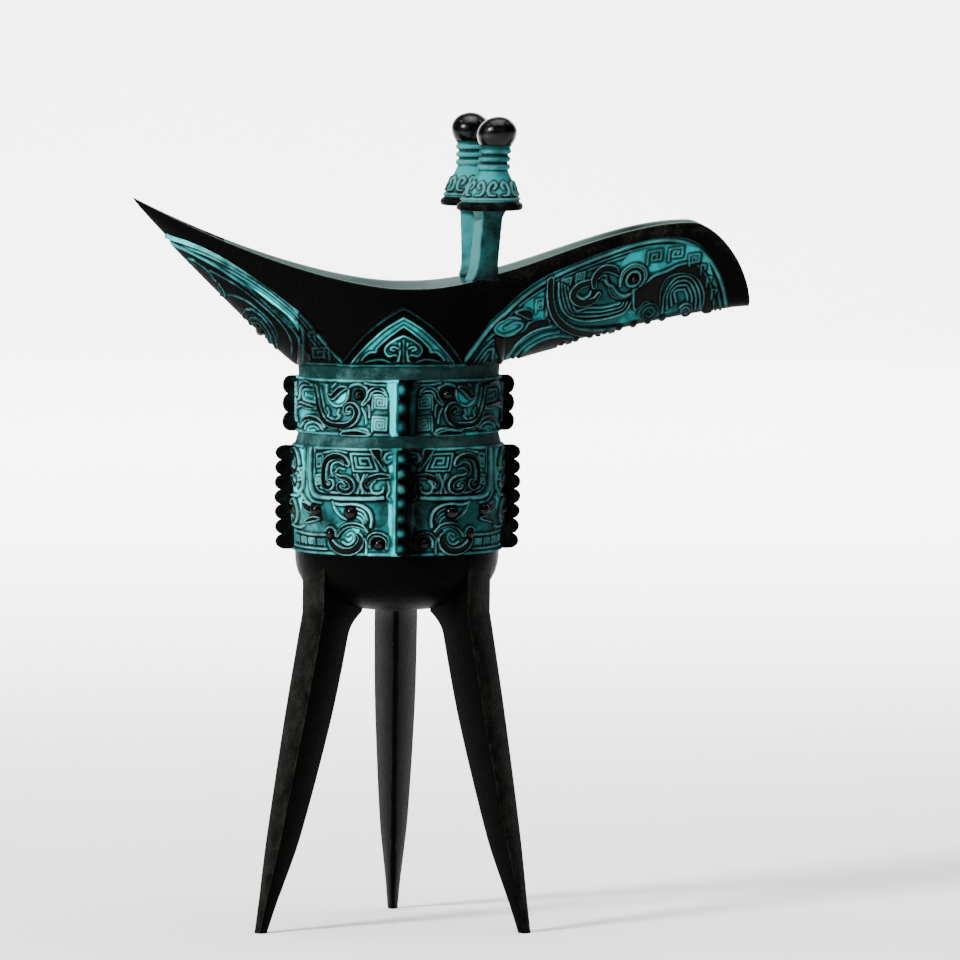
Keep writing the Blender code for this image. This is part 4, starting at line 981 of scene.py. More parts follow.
def patinated_bronze(finish):
    """Dark bronze with a blue-green patina, by three values of the mesh.

    Patina under 0 is rubbed metal with a gloss, and under -1 a polished boss. 0 is bare metal, 1 is
    blue-green, 1.5 is where it is brightest, 3 is a grey film and 4 is dust. Wear shows brown in the metal
    and thins the film, and pale is the share of pale edge, worn patina and a painted highlight. Three sizes
    of noise move the limits between them about, and a fourth lays the film over the patina in patches. Toward
    the spout, away from the light, the patina's colour and its pale edges are darkened and greyed as a
    painted shade.
    """
    shader = Shader("patinated_bronze")
    cloud = shader.noise(260.0)
    grain = shader.noise(1400.0, 4.0)
    blotch = shader.noise(75.0, 3.0)
    tone = shader.attribute("patina")
    wear = shader.attribute("wear")
    pale = shader.attribute("pale")
    along = shader.separate(shader.places, 0)
    drift = cloud - 0.5
    speck = grain - 0.5
    stain = blotch - 0.5
    cover = (tone + drift * 0.7 + speck * 0.6).between(0.15, 0.85)
    worn = (wear + speck * 0.6 + drift * 0.6).between(0.25, 0.95)
    metal = shader.mix(worn, finish.bronze, finish.brown)
    mottle = drift * 0.9 + stain * 1.5
    # Painted shade toward the spout, away from the light
    spout_shade = (along + drift * 0.01).between(-0.018, 0.007)
    low = shader.mix((tone + mottle).between(0.3, 1.3), finish.dark_patina, finish.patina)
    high = shader.mix((tone + mottle * 1.2).between(1.0, 1.5), low, finish.bright_patina)
    haze = (grain * 0.2 + cloud * 0.4 + blotch * 0.4 - wear * 0.1).between(0.35, 0.65)
    film = shader.mix(haze, finish.dark_patina, finish.grey_film)
    patch = shader.noise(52.0, 2.0)
    rubbed = patch.between(0.53, 0.66) * 0.65 * (1.0 - tone.between(1.05, 1.25))
    dull = shader.mix(tone.between(2.2, 2.8).maximum(rubbed), high, film)
    spout_shaded = shader.mix(spout_shade * 0.69, dull, finish.spout_shade_patina)
    dusty = shader.mix(tone.between(3.2, 3.8), spout_shaded, finish.dusty)
    # The pale edges take the same painted shade toward the spout
    edge = shader.mix(spout_shade * 0.7, finish.pale_patina, finish.spout_shade_patina)
    # Share of pale edge: worn patina and a painted highlight along the ridges
    pale_edge_share = (pale + pale * (stain * 3.2 + drift * 1.6 + speck * 0.8)).between(-0.1, 1.3)
    green = shader.mix(pale_edge_share, dusty, edge)
    gloss = 1.0 - tone.between(-0.45, -0.05)
    shine = 1.0 - tone.between(-1.1, -0.8)
    shader.set(Base__Color=shader.mix(cover, metal, green), Roughness=0.38 + cover * 0.3 + speck * 0.2,
               Coat__Weight=gloss * 0.07 + shine * 0.2 + pale * 0.05,
               Normal=shader.bump(grain + cloud * 0.6, 0.00015, 0.8))
    shader.set(Metallic=0.0, Specular__IOR__Level=0.01, Coat__Roughness=0.16)
    return shader.material


def polished_bronze(finish):
    """Nearly black bronze, rubbed to a gloss by hands, with brown clouds and fine pits."""
    shader = Shader("polished_bronze")
    cloud = shader.noise(220.0)
    pits = shader.noise(500.0)
    metal = shader.mix(cloud.between(0.5, 0.75), finish.bronze, finish.brown)
    shader.set(Base__Color=metal, Roughness=0.16 + cloud * 0.14, Metallic=0.7,
               Normal=shader.bump(pits, 0.0002, 0.5))
    return shader.material


def material(context, maker):
    """A finish by the function that makes it, made once."""
    return bpy.data.materials.get(maker.__name__) or maker(context.scene.jue_finish)


class JUE_OT_body(bpy.types.Operator):
    """Make the hollow bowl with its mouth, tail and spout"""

    bl_idname = "jue.body"
    bl_label = "Bowl and mouth"

    # Sections along the tail, the neck and the spout, rows up the mouth's wall, and the powers that draw them
    # together at the tail's tip, the spout's end and the keel
    TAIL = 40
    NECK = 72
    SPOUT = 52
    ROWS = 22
    TAIL_POWER = 1.2
    SPOUT_POWER = 1.6
    ROW_POWER = 1.4
    # Where along X the dust on the rim starts, and the gap between two rows that part two finishes
    DUST_FROM = -46.0
    STEP = 0.02
    # Height of the rim's rounding, and its profile by share of the way in and share of that height
    SOFTEN = 0.35
    RIM_PROFILE = ((0.0, 0.0), (0.12, 0.8), (0.13, 0.81), (0.3, 1.0), (0.7, 1.0), (0.88, 0.8), (1.0, 0.0))
    # Share of the lining's height that the dust starts at
    DUSTY_LINING = 0.74
    # Room between the inner keel and the rim where the lining ends at the lip
    LIP_ROOM = 0.3
    # Rows under the neck outside and inside, and those of the round bottom by share of its height
    OUTER_ROWS = 44
    INNER_ROWS = 30
    BOTTOM = (0.06, 0.14, 0.24, 0.36, 0.48, 0.6, 0.7, 0.78, 0.85, 0.91, 0.955, 0.985, 0.997)
    BOTTOM_POWER = 1.3
    # How thin the film is on the waist and over the narrow band
    WAIST_WEAR = 0.35
    NECK_WEAR = 1.0

    def execute(self, context):
        bowl, mouth, _ = sizes(context)
        outside = Wall(bowl, mouth)
        inside = Wall(bowl, mouth, bowl.wall, bowl.floor)
        shell = Shell(bowl)
        for face in (-1, 1):
            self.mouth_side(shell, outside, inside, face)
        turn = 2 * np.pi * np.arange(2 * self.NECK)[:, None] / (2 * self.NECK) - np.pi / 2
        self.outer_bowl(shell, outside, turn)
        self.inner_bowl(shell, inside, turn)
        shell.make("vessel_body", material(context, patinated_bronze), 38.0)
        return {"FINISHED"}

    def stations(self, wall, end):
        """X of the mouth's sections, closer together where the shape turns."""
        share = np.linspace(0.0, 1.0, self.TAIL, endpoint=False)
        tail = -wall.tail + (wall.tail - wall.neck_half) * share ** self.TAIL_POWER
        tail = np.sort(np.append(tail, (self.DUST_FROM, self.DUST_FROM + self.STEP)))
        neck = -wall.neck_half * np.cos(np.pi * np.linspace(0.0, 1.0, self.NECK + 1))
        share = np.linspace(0.0, 1.0, self.SPOUT + 1)[1:]
        spout = wall.neck_half + (end - wall.neck_half) * (1.0 - (1.0 - share) ** self.SPOUT_POWER)
        return np.concatenate((tail, neck, spout))

    def mouth_grid(self, wall, end, rim, share, face):
        """Mouth wall on one side, by share of the height from the keel or the neck to the rim's rounding."""
        x = self.stations(wall, end)[:, None]
        keel = wall.keel(x)
        top = np.maximum(rim(x) - self.SOFTEN, keel)
        z = keel + (top - keel) * share
        y = wall.side(x, z)
        y[0] = 0.0
        y[-1] = 0.0
        return np.stack((x + 0 * z, face * y, z), axis=-1)

    def mouth_side(self, shell, outside, inside, face):
        """Outer wall, lining and rim on one side; the rim is a strip between them, raised by its profile."""
        mouth = outside.mouth
        lip = np.linspace(mouth.spout_length - mouth.lip_fall, mouth.spout_length, 400)
        end = lip[np.argmax(outside.rim(lip) <= inside.keel(lip) + self.LIP_ROOM)]
        share = np.linspace(0.0, 1.0, self.ROWS + 1)[None] ** self.ROW_POWER
        outer = self.mouth_grid(outside, mouth.spout_length, outside.rim, share, face)
        inner = self.mouth_grid(inside, end, outside.rim, share, face)
        # Brown shows on the outer wall near the rim, more so toward the spout
        worn = 0.36 * ease((share - 0.72) / 0.22) * (0.4 + 0.6 * ease(outer[..., 0] / 30.0))
        # The lining is green but for the tail
        green = 0.9 * ease((inner[..., 0] + 50.0) / 30.0)
        shell.grid(outer, 0.0, wear=worn)
        shell.grid(inner, np.where(share > self.DUSTY_LINING, self.dust(inner), green))
        across, lift = np.array(self.RIM_PROFILE).T
        edge = outer[:, -1:]
        strip = edge + (inner[:, -1:] - edge) * across[:, None]
        strip[1:-1, :, 2] += self.SOFTEN * lift
        shell.grid(strip, np.where(np.arange(len(lift)) > 1, self.dust(strip), SHINE))

    def dust(self, points):
        """Dust over the rim from DUST_FROM toward the spout, and bare metal at the tail's tip."""
        return DUST * (points[..., 0] > self.DUST_FROM + self.STEP / 2)

    def outer_bowl(self, shell, wall, turn):
        """Outside of the bowl, with a dull film between the round bottom and the neck."""
        bowl = wall.bowl
        straight_rows = np.linspace(bowl.neck - self.STEP, bowl.band_foot, self.OUTER_ROWS)
        bottom_rows = bowl.band_foot - bowl.round_height * np.array(self.BOTTOM)
        points = wall.around(turn, np.concatenate(((bowl.neck,), straight_rows, bottom_rows))[None])
        z = points[..., 2]
        film = (z > bowl.band_foot) & (z < bowl.neck - self.STEP / 2)
        worn = film * np.where(z > bowl.upper_top, self.NECK_WEAR, self.WAIST_WEAR)
        shell.grid(points, FILM * film, ring=True, wear=worn)
        self.close(shell, points[:, -1], wall.foot, 0.0)

    def inner_bowl(self, shell, wall, turn):
        """Inside of the bowl, from the neck down to its round bottom."""
        bowl = wall.bowl
        share = 1.0 - np.linspace(0.08, 0.99, 12)
        straight_rows = np.linspace(wall.neck, bowl.band_foot, self.INNER_ROWS)
        bottom_rows = wall.foot + (bowl.band_foot - wall.foot) * share ** self.BOTTOM_POWER
        points = wall.around(turn, np.concatenate((straight_rows, bottom_rows))[None])
        # The first row is the oval that the mouth's lining stands on
        points[:, 0, 0] = wall.neck_half * np.sin(turn[:, 0])
        points[:, 0, 1] = -wall.neck_half * bowl.oval * np.cos(turn[:, 0])
        shell.grid(points, 0.5, ring=True)
        self.close(shell, points[:, -1], wall.foot, 0.5)

    def close(self, shell, ring, height, patina):
        """Close a ring of points with a fan to a point on the axis."""
        fan = np.stack((ring, np.broadcast_to((0.0, 0.0, height), ring.shape)), axis=1)
        shell.grid(fan, patina, ring=True)


class JUE_OT_bands(bpy.types.Operator):
    """Make the two ornamented bands round the bowl"""

    bl_idname = "jue.bands"
    bl_label = "Ornamented bands"

    # Length of a quarter as its motif is drawn, the band's ground over the wall and its depth in it
    QUARTER_ARC = 41.0
    GROUND = 0.15
    SUNK = 1.1

    def paint_flange_light(self, turn, across, patina, pale):
        """Painted light and shade on the patina and pale, by place round the bowl and distance from the
        flange.

        Beside the front flange the patina and pale are darkened on the spout's side as a painted shadow of
        the flange, and on the tail's side, which faces the light, the patina is brightened in a strip as
        painted light, with fewer pale edges.
        """
        # Painted shadow of the front flange on the spout's side
        flange_shadow = 1.0 - 0.65 * (turn < np.pi / 2) * ease((7.5 - across) / 5.0)
        tail_side = turn > 1.5 * np.pi
        # Painted light in a strip beside the flange on the tail's side, which faces the light, with fewer
        # pale edges
        bright = tail_side * ease((4.6 - across) / 2.6)
        strip_pale = 1.0 - 0.7 * ease((3.2 - across) / 1.0)
        patina = np.where(bright > 0.0, np.maximum(patina, 1.3 * bright), patina * flange_shadow)
        return patina, pale * np.where(tail_side, strip_pale, flange_shadow)

    def execute(self, context):
        """Each band is one quarter's motif, mirrored round the bowl and raised along its normals."""
        bowl, mouth, parts = sizes(context)
        wall = Wall(bowl, mouth)
        quarter = int(round(self.QUARTER_ARC / parts.grid))
        step = np.arange(4 * quarter)
        fold = np.minimum(step % (2 * quarter), 2 * quarter - step % (2 * quarter))
        turn = (step[:, None] / quarter) * np.pi / 2
        swing = np.minimum(turn % np.pi, np.pi - turn % np.pi)
        bands = (("wide_band", bowl.band_foot, bowl.lower_band, lower_dragon),
                 ("narrow_band", bowl.upper_foot, bowl.upper_band, upper_dragon))
        for name, foot, height, motif in bands:
            up = np.linspace(0.0, height, int(round(height / parts.grid)) + 1)[None]
            across = swing / (np.pi / 2) * self.QUARTER_ARC + 0 * up
            carving = Carving(across[:quarter + 1], up + 0 * across[:quarter + 1], parts.relief)
            motif(carving)
            patina, pale = self.paint_flange_light(turn, across, carving.tone[fold], carving.pale[fold])
            ground = wall.around(turn + 0 * up, foot + up + 0 * turn)
            out = ring_normals(ground)
            # They have to point away from the axis, as the first place does
            if out[0, 0, 1] * ground[0, 0, 1] < 0.0:
                out = -out
            outer = ground + out * (self.GROUND + carving.height[fold])[..., None]
            ends = [-1, 0]
            inner = ground[:, ends] - out[:, ends] * self.SUNK
            shell = Shell(bowl)
            shell.grid(np.concatenate((outer, inner), axis=1),
                       np.concatenate((patina, patina[:, ends]), axis=1), ring=True, tube=True,
                       pale=np.concatenate((pale, pale[:, ends]), axis=1))
            shell.make(name, material(context, patinated_bronze), 80.0)
        return {"FINISHED"}


class JUE_OT_mouth_ornament(bpy.types.Operator):
    """Make the raised ornament of the spout, the tail and the neck leaves"""

    bl_idname = "jue.mouth_ornament"
    bl_label = "Mouth ornament"

    # The ornament's ground over the wall, its depth in it, and the width that it falls over at its border
    GROUND = 0.06
    SUNK = 0.9
    MARGIN = 0.35
    MARGIN_DEPTH = 0.1
    # Rows for each grid step of height, and the power that draws them together at the foot
    ROW_SHARE = 1.25
    ROW_POWER = 1.35
    # Runs along X from the axis, and top borders by distance along and height over the keel or the neck
    SPOUT_RUN = (15.9, 87.0)
    SPOUT_BORDER = [(15.0, 1.2), (15.7, 2.1), (19.2, 6.7), (23.2, 11.8), (26.2, 14.4), (31.2, 17.7),
                    (37.2, 20.0), (45.2, 21.2), (53.2, 22.2), (61.2, 22.6), (67.2, 22.5), (73.2, 21.4),
                    (78.2, 18.6), (82.2, 13.4), (84.8, 8.4), (86.4, 2.4), (88.0, 0.6)]
    TAIL_RUN = (15.4, 61.6)
    TAIL_BORDER = [(14.6, 0.6), (15.2, 1.3), (19.2, 5.8), (23.2, 10.8), (25.9, 13.8), (29.6, 14.0),
                   (35.6, 13.1), (43.6, 10.9), (49.6, 8.4), (55.6, 5.0), (60.6, 1.4), (62.4, 0.5)]
    LEAF_HALF = 17.2
    LEAF_BORDER = [(0.0, 16.2), (3.7, 14.8), (8.3, 11.9), (12.9, 7.8), (15.6, 3.8), (17.2, 0.7)]

    def plates(self, context, name, x, border, motif):
        """Front and back plates over x, from the keel or neck to a border, raised along the wall's normal."""
        bowl, mouth, parts = sizes(context)
        wall = Wall(bowl, mouth)
        along, height = curve(border).T
        top = np.interp(np.abs(x), along, height)[:, None]
        rows = int(round(top.max() * self.ROW_SHARE / parts.grid))
        share = np.linspace(0.0, 1.0, rows + 1)[None] ** self.ROW_POWER
        x = x[:, None] + 0 * share
        up = top * share
        carving = Carving(np.abs(x), up, parts.relief)
        motif(carving)
        z = wall.keel(x) + up
        margin = ease((top - up) / self.MARGIN)
        lift = (self.GROUND + carving.height) * margin - self.MARGIN_DEPTH * (1.0 - margin)
        on_keel = np.abs(x[:, 0]) > wall.neck_half
        back = np.linspace(rows, 0, 7).astype(int)
        shell = Shell(bowl)
        for face in (-1, 1):
            y = np.where((np.abs(x) >= wall.neck_half) & (up == 0.0), 0.0, face * wall.side(x, z))
            ground = np.stack((x, y, z), axis=-1)
            out = wall.normal(x, z, face)
            out[on_keel, 0, 1] = 0.0
            out[on_keel, 0] /= np.linalg.norm(out[on_keel, 0], axis=-1, keepdims=True)
            outer = ground + out * lift[..., None]
            inner = ground[:, back] - out[:, back] * self.SUNK
            shell.tube(np.concatenate((outer, inner), axis=1),
                       np.concatenate((carving.tone, carving.tone[:, back]), axis=1),
                       pale=np.concatenate((carving.pale, carving.pale[:, back]), axis=1))
        shell.make(name, material(context, patinated_bronze), 80.0)

    def execute(self, context):
        _, _, parts = sizes(context)
        spout = np.arange(*self.SPOUT_RUN, parts.grid)
        tail = -np.arange(*self.TAIL_RUN, parts.grid)
        columns = int(round(2 * self.LEAF_HALF / parts.grid)) + 1
        leaf = np.linspace(-self.LEAF_HALF, self.LEAF_HALF, columns)
        self.plates(context, "spout_ornament", spout, self.SPOUT_BORDER, spout_dragon)
        self.plates(context, "tail_ornament", tail, self.TAIL_BORDER, tail_feathers)
        self.plates(context, "neck_leaves", leaf, self.LEAF_BORDER, neck_leaf)
        return {"FINISHED"}


def squared(wave, power):
    """A sine or cosine drawn toward a square wave: its size goes to a power under 1."""
    return np.sign(wave) * np.abs(wave) ** power


class JUE_OT_flanges(bpy.types.Operator):
    """Make the toothed flanges under the tail, under the spout and at the front"""

    bl_idname = "jue.flanges"
    bl_label = "Flanges"

    # Depth in the wall, turns from the front, and points on a tooth and across a flange
    ROOT = 1.6
    TURNS = (0.0, -np.pi / 2, np.pi / 2)
    TOOTH_POINTS = 16
    ACROSS_POINTS = 19

    def flange(self, shell, wall, parts, turn, foot, top, reach, teeth):
        """One upright flange: round teeth along its edge, and across it a superellipse, wider at a tooth."""
        share = np.linspace(0.0, 1.0, teeth * self.TOOTH_POINTS + 1)[:, None]
        z = foot + (top - foot) * share
        tooth = np.abs(np.sin(np.pi * teeth * share)) ** 0.6
        end = np.clip(np.minimum(share, 1.0 - share) * teeth * 4, 0.0, 1.0) ** 0.4
        out = reach * (0.7 + 0.32 * tooth) * (0.9 + 0.1 * end)
        sweep = np.linspace(-np.pi / 2, np.pi / 2, self.ACROSS_POINTS)[None]
        deep = np.abs(np.cos(sweep)) ** 0.4
        swell = 0.84 + 0.32 * tooth * ease((deep - 0.66) / 0.26)
        wide = squared(np.sin(sweep), 0.5) * parts.flange_thickness / 2 * swell
        half = wall.bowl_half(z) * math.hypot(math.sin(turn), wall.bowl.oval * math.cos(turn))
        forward = half - self.ROOT + (out + self.ROOT) * deep
        points = np.stack((forward * math.sin(turn) + wide * math.cos(turn),
                           wide * math.sin(turn) - forward * math.cos(turn), z + 0 * wide), axis=-1)
        # A little patina lies over the flange. The teal on the teeth's tips is a painted highlight: strong on
        # the tail's side of the front flange, which faces the light, and faint on the side flanges.
        tip = ease((deep - 0.75) / 0.25)
        lit = 0.95 * ease((0.5 - sweep) / 0.7) if turn == 0.0 else 0.15
        shell.tube(points, 0.25 * (1.0 - tip) + tip * tooth ** 3 * lit)

    def execute(self, context):
        bowl, mouth, parts = sizes(context)
        wall = Wall(bowl, mouth)
        shell = Shell(bowl)
        rows = ((bowl.band_foot + 0.3, bowl.waist_foot - 0.6, parts.lower_reach, 7),
                (bowl.upper_foot + 0.2, bowl.upper_top, parts.upper_reach, 3))
        for turn in self.TURNS:
            for row in rows:
                self.flange(shell, wall, parts, turn, *row)
        shell.make("flanges", material(context, patinated_bronze), 60.0)
        return {"FINISHED"}


def rounded(corners, radius):
    """Each row's polygon with rounded corners: two points on the sides and a curve's middle between them."""
    before = np.roll(corners, 1, axis=1) - corners
    after = np.roll(corners, -1, axis=1) - corners
    before_size = np.linalg.norm(before, axis=-1, keepdims=True)
    after_size = np.linalg.norm(after, axis=-1, keepdims=True)
    start = corners + before / before_size * np.minimum(radius, before_size * 0.45)
    end = corners + after / after_size * np.minimum(radius, after_size * 0.45)
    middle = 0.25 * start + 0.5 * corners + 0.25 * end
    return np.stack((start, middle, end), axis=2).reshape(len(corners), -1, corners.shape[-1])


class JUE_OT_legs(bpy.types.Operator):
    """Make the three blade legs"""

    bl_idname = "jue.legs"
    bl_label = "Legs"

    # Directions of the legs, in degrees from the spout
    ANGLES = (-152.5, -32.5, 87.5)
    # Width of a leg by height, as shares, and how far it goes up into the round bottom
    HEIGHTS = (0.0, 0.1, 0.2, 0.3, 0.5, 0.7, 0.9, 1.0)
    WIDTHS = (0.256, 0.376, 0.538, 0.675, 0.838, 0.957, 1.0, 1.0)
    TOP_SHARE = 0.8
    ROWS = 70
    # Radius of the edges, and the brown wear on them and on the outer face
    EDGE = 0.45
    EDGE_WEAR = 0.55
    FACE_WEAR = 0.42

    def execute(self, context):
        """A leg is a stack of rounded four-sided sections: a wide outer face and a narrow inner ridge."""
        bowl, _, parts = sizes(context)
        shell = Shell(bowl)
        heights, widths = curve(np.stack((self.HEIGHTS, self.WIDTHS), axis=1), 8).T
        top = 1.0 + self.TOP_SHARE * bowl.round_height / bowl.leg_height
        share = np.append(np.linspace(0.0, 1.0, self.ROWS), top)
        width = parts.leg_width * np.interp(share, heights, widths)
        z = share * bowl.leg_height
        face = parts.leg_foot + (parts.leg_top - parts.leg_foot) * np.minimum(share, 1.0)
        arch_foot = bowl.leg_height - 2 * parts.leg_arch
        arch = parts.leg_arch * np.clip((z - arch_foot) / (2 * parts.leg_arch), 0.0, 1.0) ** 2
        depth = width + arch
        ridge = np.minimum(parts.leg_ridge, width / 3)
        corners = np.stack([np.stack(corner, axis=-1) for corner in (
            (0 * z, -width / 2), (0 * z, width / 2), (-depth, ridge / 2), (-depth, -ridge / 2))], axis=1)
        loop = rounded(corners, self.EDGE)
        # Each corner has three points, of which the second is the edge; the outer face lies between 2 and 3
        point = np.arange(loop.shape[1])
        worn = np.where((point == 2) | (point == 3), self.FACE_WEAR, 0.0)
        worn = np.where(point % 3 == 1, self.EDGE_WEAR, worn) + 0 * z[:, None]
        for angle in self.ANGLES:
            turn = math.radians(angle)
            outward = np.array((math.cos(turn), math.sin(turn), 0.0))
            sideways = np.array((-math.sin(turn), math.cos(turn), 0.0))
            points = (face[:, None] + loop[..., 0])[..., None] * outward + loop[..., 1][..., None] * sideways
            points[..., 2] = z[:, None]
            shell.tube(points, 0.0, wear=worn)
        shell.make("legs", material(context, patinated_bronze), 30.0)
        return {"FINISHED"}


class JUE_OT_posts(bpy.types.Operator):
    """Make the two posts on the rim and their caps"""

    bl_idname = "jue.posts"
    bl_label = "Posts and caps"

    # Turn of a post about its own axis and its lean outward, in degrees
    TURN = 15.0
    SPLAY = 5.0
    # Side of each post and its lean toward the spout, in degrees
    SIDES = ((-1, 4.8), (1, -2.0))
    # How far a post goes up into its cap, its rows, and the radius of its edges
    HEAD = 1.2
    ROWS = 60
    EDGE = 0.8
    # Points round a cap, pairs of scrolls on its skirt, and the skirt's length round as they are drawn
    ROUND = 192
    SCROLLS = 6
    SKIRT_ARC = 33.0
    # Heights in a cap: the disc's top, the skirt's foot, the run that has scrolls, and the last ring
    DISC_TOP = 2.3
    SKIRT_FOOT = 2.6
    SCROLL_RUN = (2.7, 9.8)
    RING_TOP = 16.2
    # Radius and height along the skirt and the neck rings
    SKIRT = [(7.6, 2.6), (6.9, 4.4), (5.8, 6.8), (4.7, 8.8), (3.9, 10.3)]
    RINGS = [(3.75, 10.6), (4.2, 10.9), (4.35, 11.5), (4.0, 12.0), (3.5, 12.3), (3.6, 12.7), (4.1, 13.0),
             (4.2, 13.6), (3.8, 14.1), (3.45, 14.4), (3.6, 14.8), (4.1, 15.1), (4.15, 15.7), (3.8, 16.2),
             (3.9, 16.7), (4.3, 17.2)]
    # Relief of the scrolls and the level of patina under them
    SCROLL_RELIEF = 0.6
    SKIRT_TONE = 1.35
    # How flat the ball's top is
    FLAT = 0.84

    def placer(self, wall, parts, side, lean):
        """Function from places on an upright post to places on the leaning one, and its foot's height."""
        along = np.array(parts.post_along)
        rim = float(wall.rim(along))
        across = side * (float(wall.side(along, rim)) - parts.post_inset)
        foot = rim - parts.post_root
        turn = side * math.radians(-self.TURN)
        tip = math.tan(math.radians(lean))
        splay = side * math.tan(math.radians(self.SPLAY))

        def place(out, z):
            """A turn about the post's axis, then a shear by its two leans."""
            x = along + out[..., 0] * math.cos(turn) - out[..., 1] * math.sin(turn) + tip * (z - foot)
            y = across + out[..., 0] * math.sin(turn) + out[..., 1] * math.cos(turn) + splay * (z - foot)
            return np.stack((x, y, z + 0 * x), axis=-1)

        return place, foot

    def post(self, shell, parts, place, foot, far):
        """A four-sided post that flares at its foot and under its cap, and narrows inside the rim."""
        span = parts.cap_base + self.HEAD - foot
        rise = span * np.linspace(0.0, 1.0, self.ROWS)
        over_rim = np.clip(rise - parts.post_root, 0.0, None)
        flare = 1.0 + 0.3 * np.exp(-over_rim / 1.6) + 0.2 * np.clip(1.0 - rise / parts.post_root, 0.0, 1.0)
        head = 0.28 * ease((rise - span + 3.4) / 3.4)
        sunk = ease((parts.post_root + 0.1 - rise) / 1.6)
        wide = parts.post_width / 2 * (flare + head) * (1.0 - 0.1 * sunk)
        deep = parts.post_depth / 2 * (1.0 + head) * (1.0 - 0.5 * sunk)
        corners = np.stack([np.stack((across * wide, over * deep), -1)
                            for across, over in ((-1, -1), (1, -1), (1, 1), (-1, 1))], axis=1)
        loop = rounded(corners, self.EDGE)
        # Painted light: patina and pale are brightest on the face toward the tail, which faces the light.
        # Painted shade dims the near post's other faces, and every face is darker near the rim.
        lit = (np.arange(loop.shape[1]) + 1) % loop.shape[1] < 3
        shade = np.where(lit, 1.3, 1.3 if far else 0.7) * (0.7 + 0.3 * ease(over_rim / 3.0))[:, None]
        pale = np.where(lit, 0.8, 0.4 if far else 0.0) + 0 * shade
        shell.tube(place(loop, (foot + rise)[:, None]), shade, pale=pale)

    def cap_profile(self, parts):
        """Radius and height of a cap from under the disc to the top of the rings, and of the round ball."""
        radius = parts.cap_radius
        disc = ((2.0, 0.0), (radius - 1.0, 0.0), (radius - 0.3, 0.15), (radius, 0.7), (radius, 1.3),
                (radius - 0.35, 1.9), (radius - 0.9, 2.15))
        profile = np.vstack((disc, curve(self.SKIRT, 12), curve(self.RINGS, 4)))
        centre = parts.cap_height - parts.ball_radius
        tilt = np.radians(np.linspace(-44.0, 90.0, 26))
        tall = parts.ball_radius * np.where(tilt > 0.0, self.FLAT, 1.0)
        return profile, np.stack((parts.ball_radius * np.cos(tilt), centre + tall * np.sin(tilt)), axis=1)

    def turned(self, shell, place, base, radius, height, patina, **facts):
        """Turn radii at their heights about the post's axis; two radii at one height make a flat fan."""
        turn = 2 * np.pi * np.arange(self.ROUND)[:, None] / self.ROUND
        out = np.stack((radius * np.cos(turn), radius * np.sin(turn)), axis=-1)
        shell.grid(place(out, base + height + 0 * turn), patina, ring=True, **facts)

    def finish(self, radius, height, carving):
        """Patina, wear and pale up a cap: a worn disc, a skirt with pale scrolls, rings with pale crests."""
        disc = height < self.DISC_TOP
        skirt = (height > self.SCROLL_RUN[0]) & (height < self.SCROLL_RUN[1])
        ringed = 0.7 + 0.65 * ease((radius - 3.5) / 0.6) * (1.0 - ease((height - self.RING_TOP) / 0.8))
        crest = 0.7 * ease((radius - 3.9) / 0.3) * (height < self.RING_TOP)
        patina = np.where(disc, 0.2, np.where(skirt, carving.tone, ringed))
        wear = np.where(skirt, 0.0, 0.3)
        pale = np.where(disc, 0.0, np.where(skirt, 0.25 + carving.pale, crest))
        return patina, wear, pale

    def execute(self, context):
        bowl, mouth, parts = sizes(context)
        wall = Wall(bowl, mouth)
        posts = Shell(bowl)
        caps = Shell(bowl)
        balls = Shell(bowl)
        profile, ball = self.cap_profile(parts)
        radius, height = profile.T
        turn = 2 * np.pi * np.arange(self.ROUND)[:, None] / self.ROUND
        pitch = self.SKIRT_ARC / self.SCROLLS
        across = (turn / (2 * np.pi) * self.SCROLLS % 1.0) * pitch
        up = height - self.SKIRT_FOOT
        carving = Carving(across + 0 * up, up + 0 * turn, self.SCROLL_RELIEF, self.SKIRT_TONE)
        cap_scrolls(carving, pitch)
        patina, wear, pale = self.finish(radius, height, carving)
        on_skirt = (height > self.SCROLL_RUN[0]) & (height < self.SCROLL_RUN[1])
        base = parts.cap_base
        for side, lean in self.SIDES:
            place, foot = self.placer(wall, parts, side, lean)
            self.post(posts, parts, place, foot, side > 0)
            raised = radius + carving.height * on_skirt
            self.turned(caps, place, base, raised, height, patina, wear=wear, pale=pale)
            self.turned(balls, place, base, ball[:, 0], ball[:, 1], 0.0)
            for shell, edge in ((caps, profile[0]), (caps, profile[-1]), (balls, ball[0])):
                self.turned(shell, place, base, np.array((edge[0], 0.0)), edge[1], 0.0)
        posts.make("posts", material(context, patinated_bronze), 40.0)
        caps.make("caps", material(context, patinated_bronze), 50.0)
        balls.make("cap_balls", material(context, polished_bronze), 70.0)
        return {"FINISHED"}


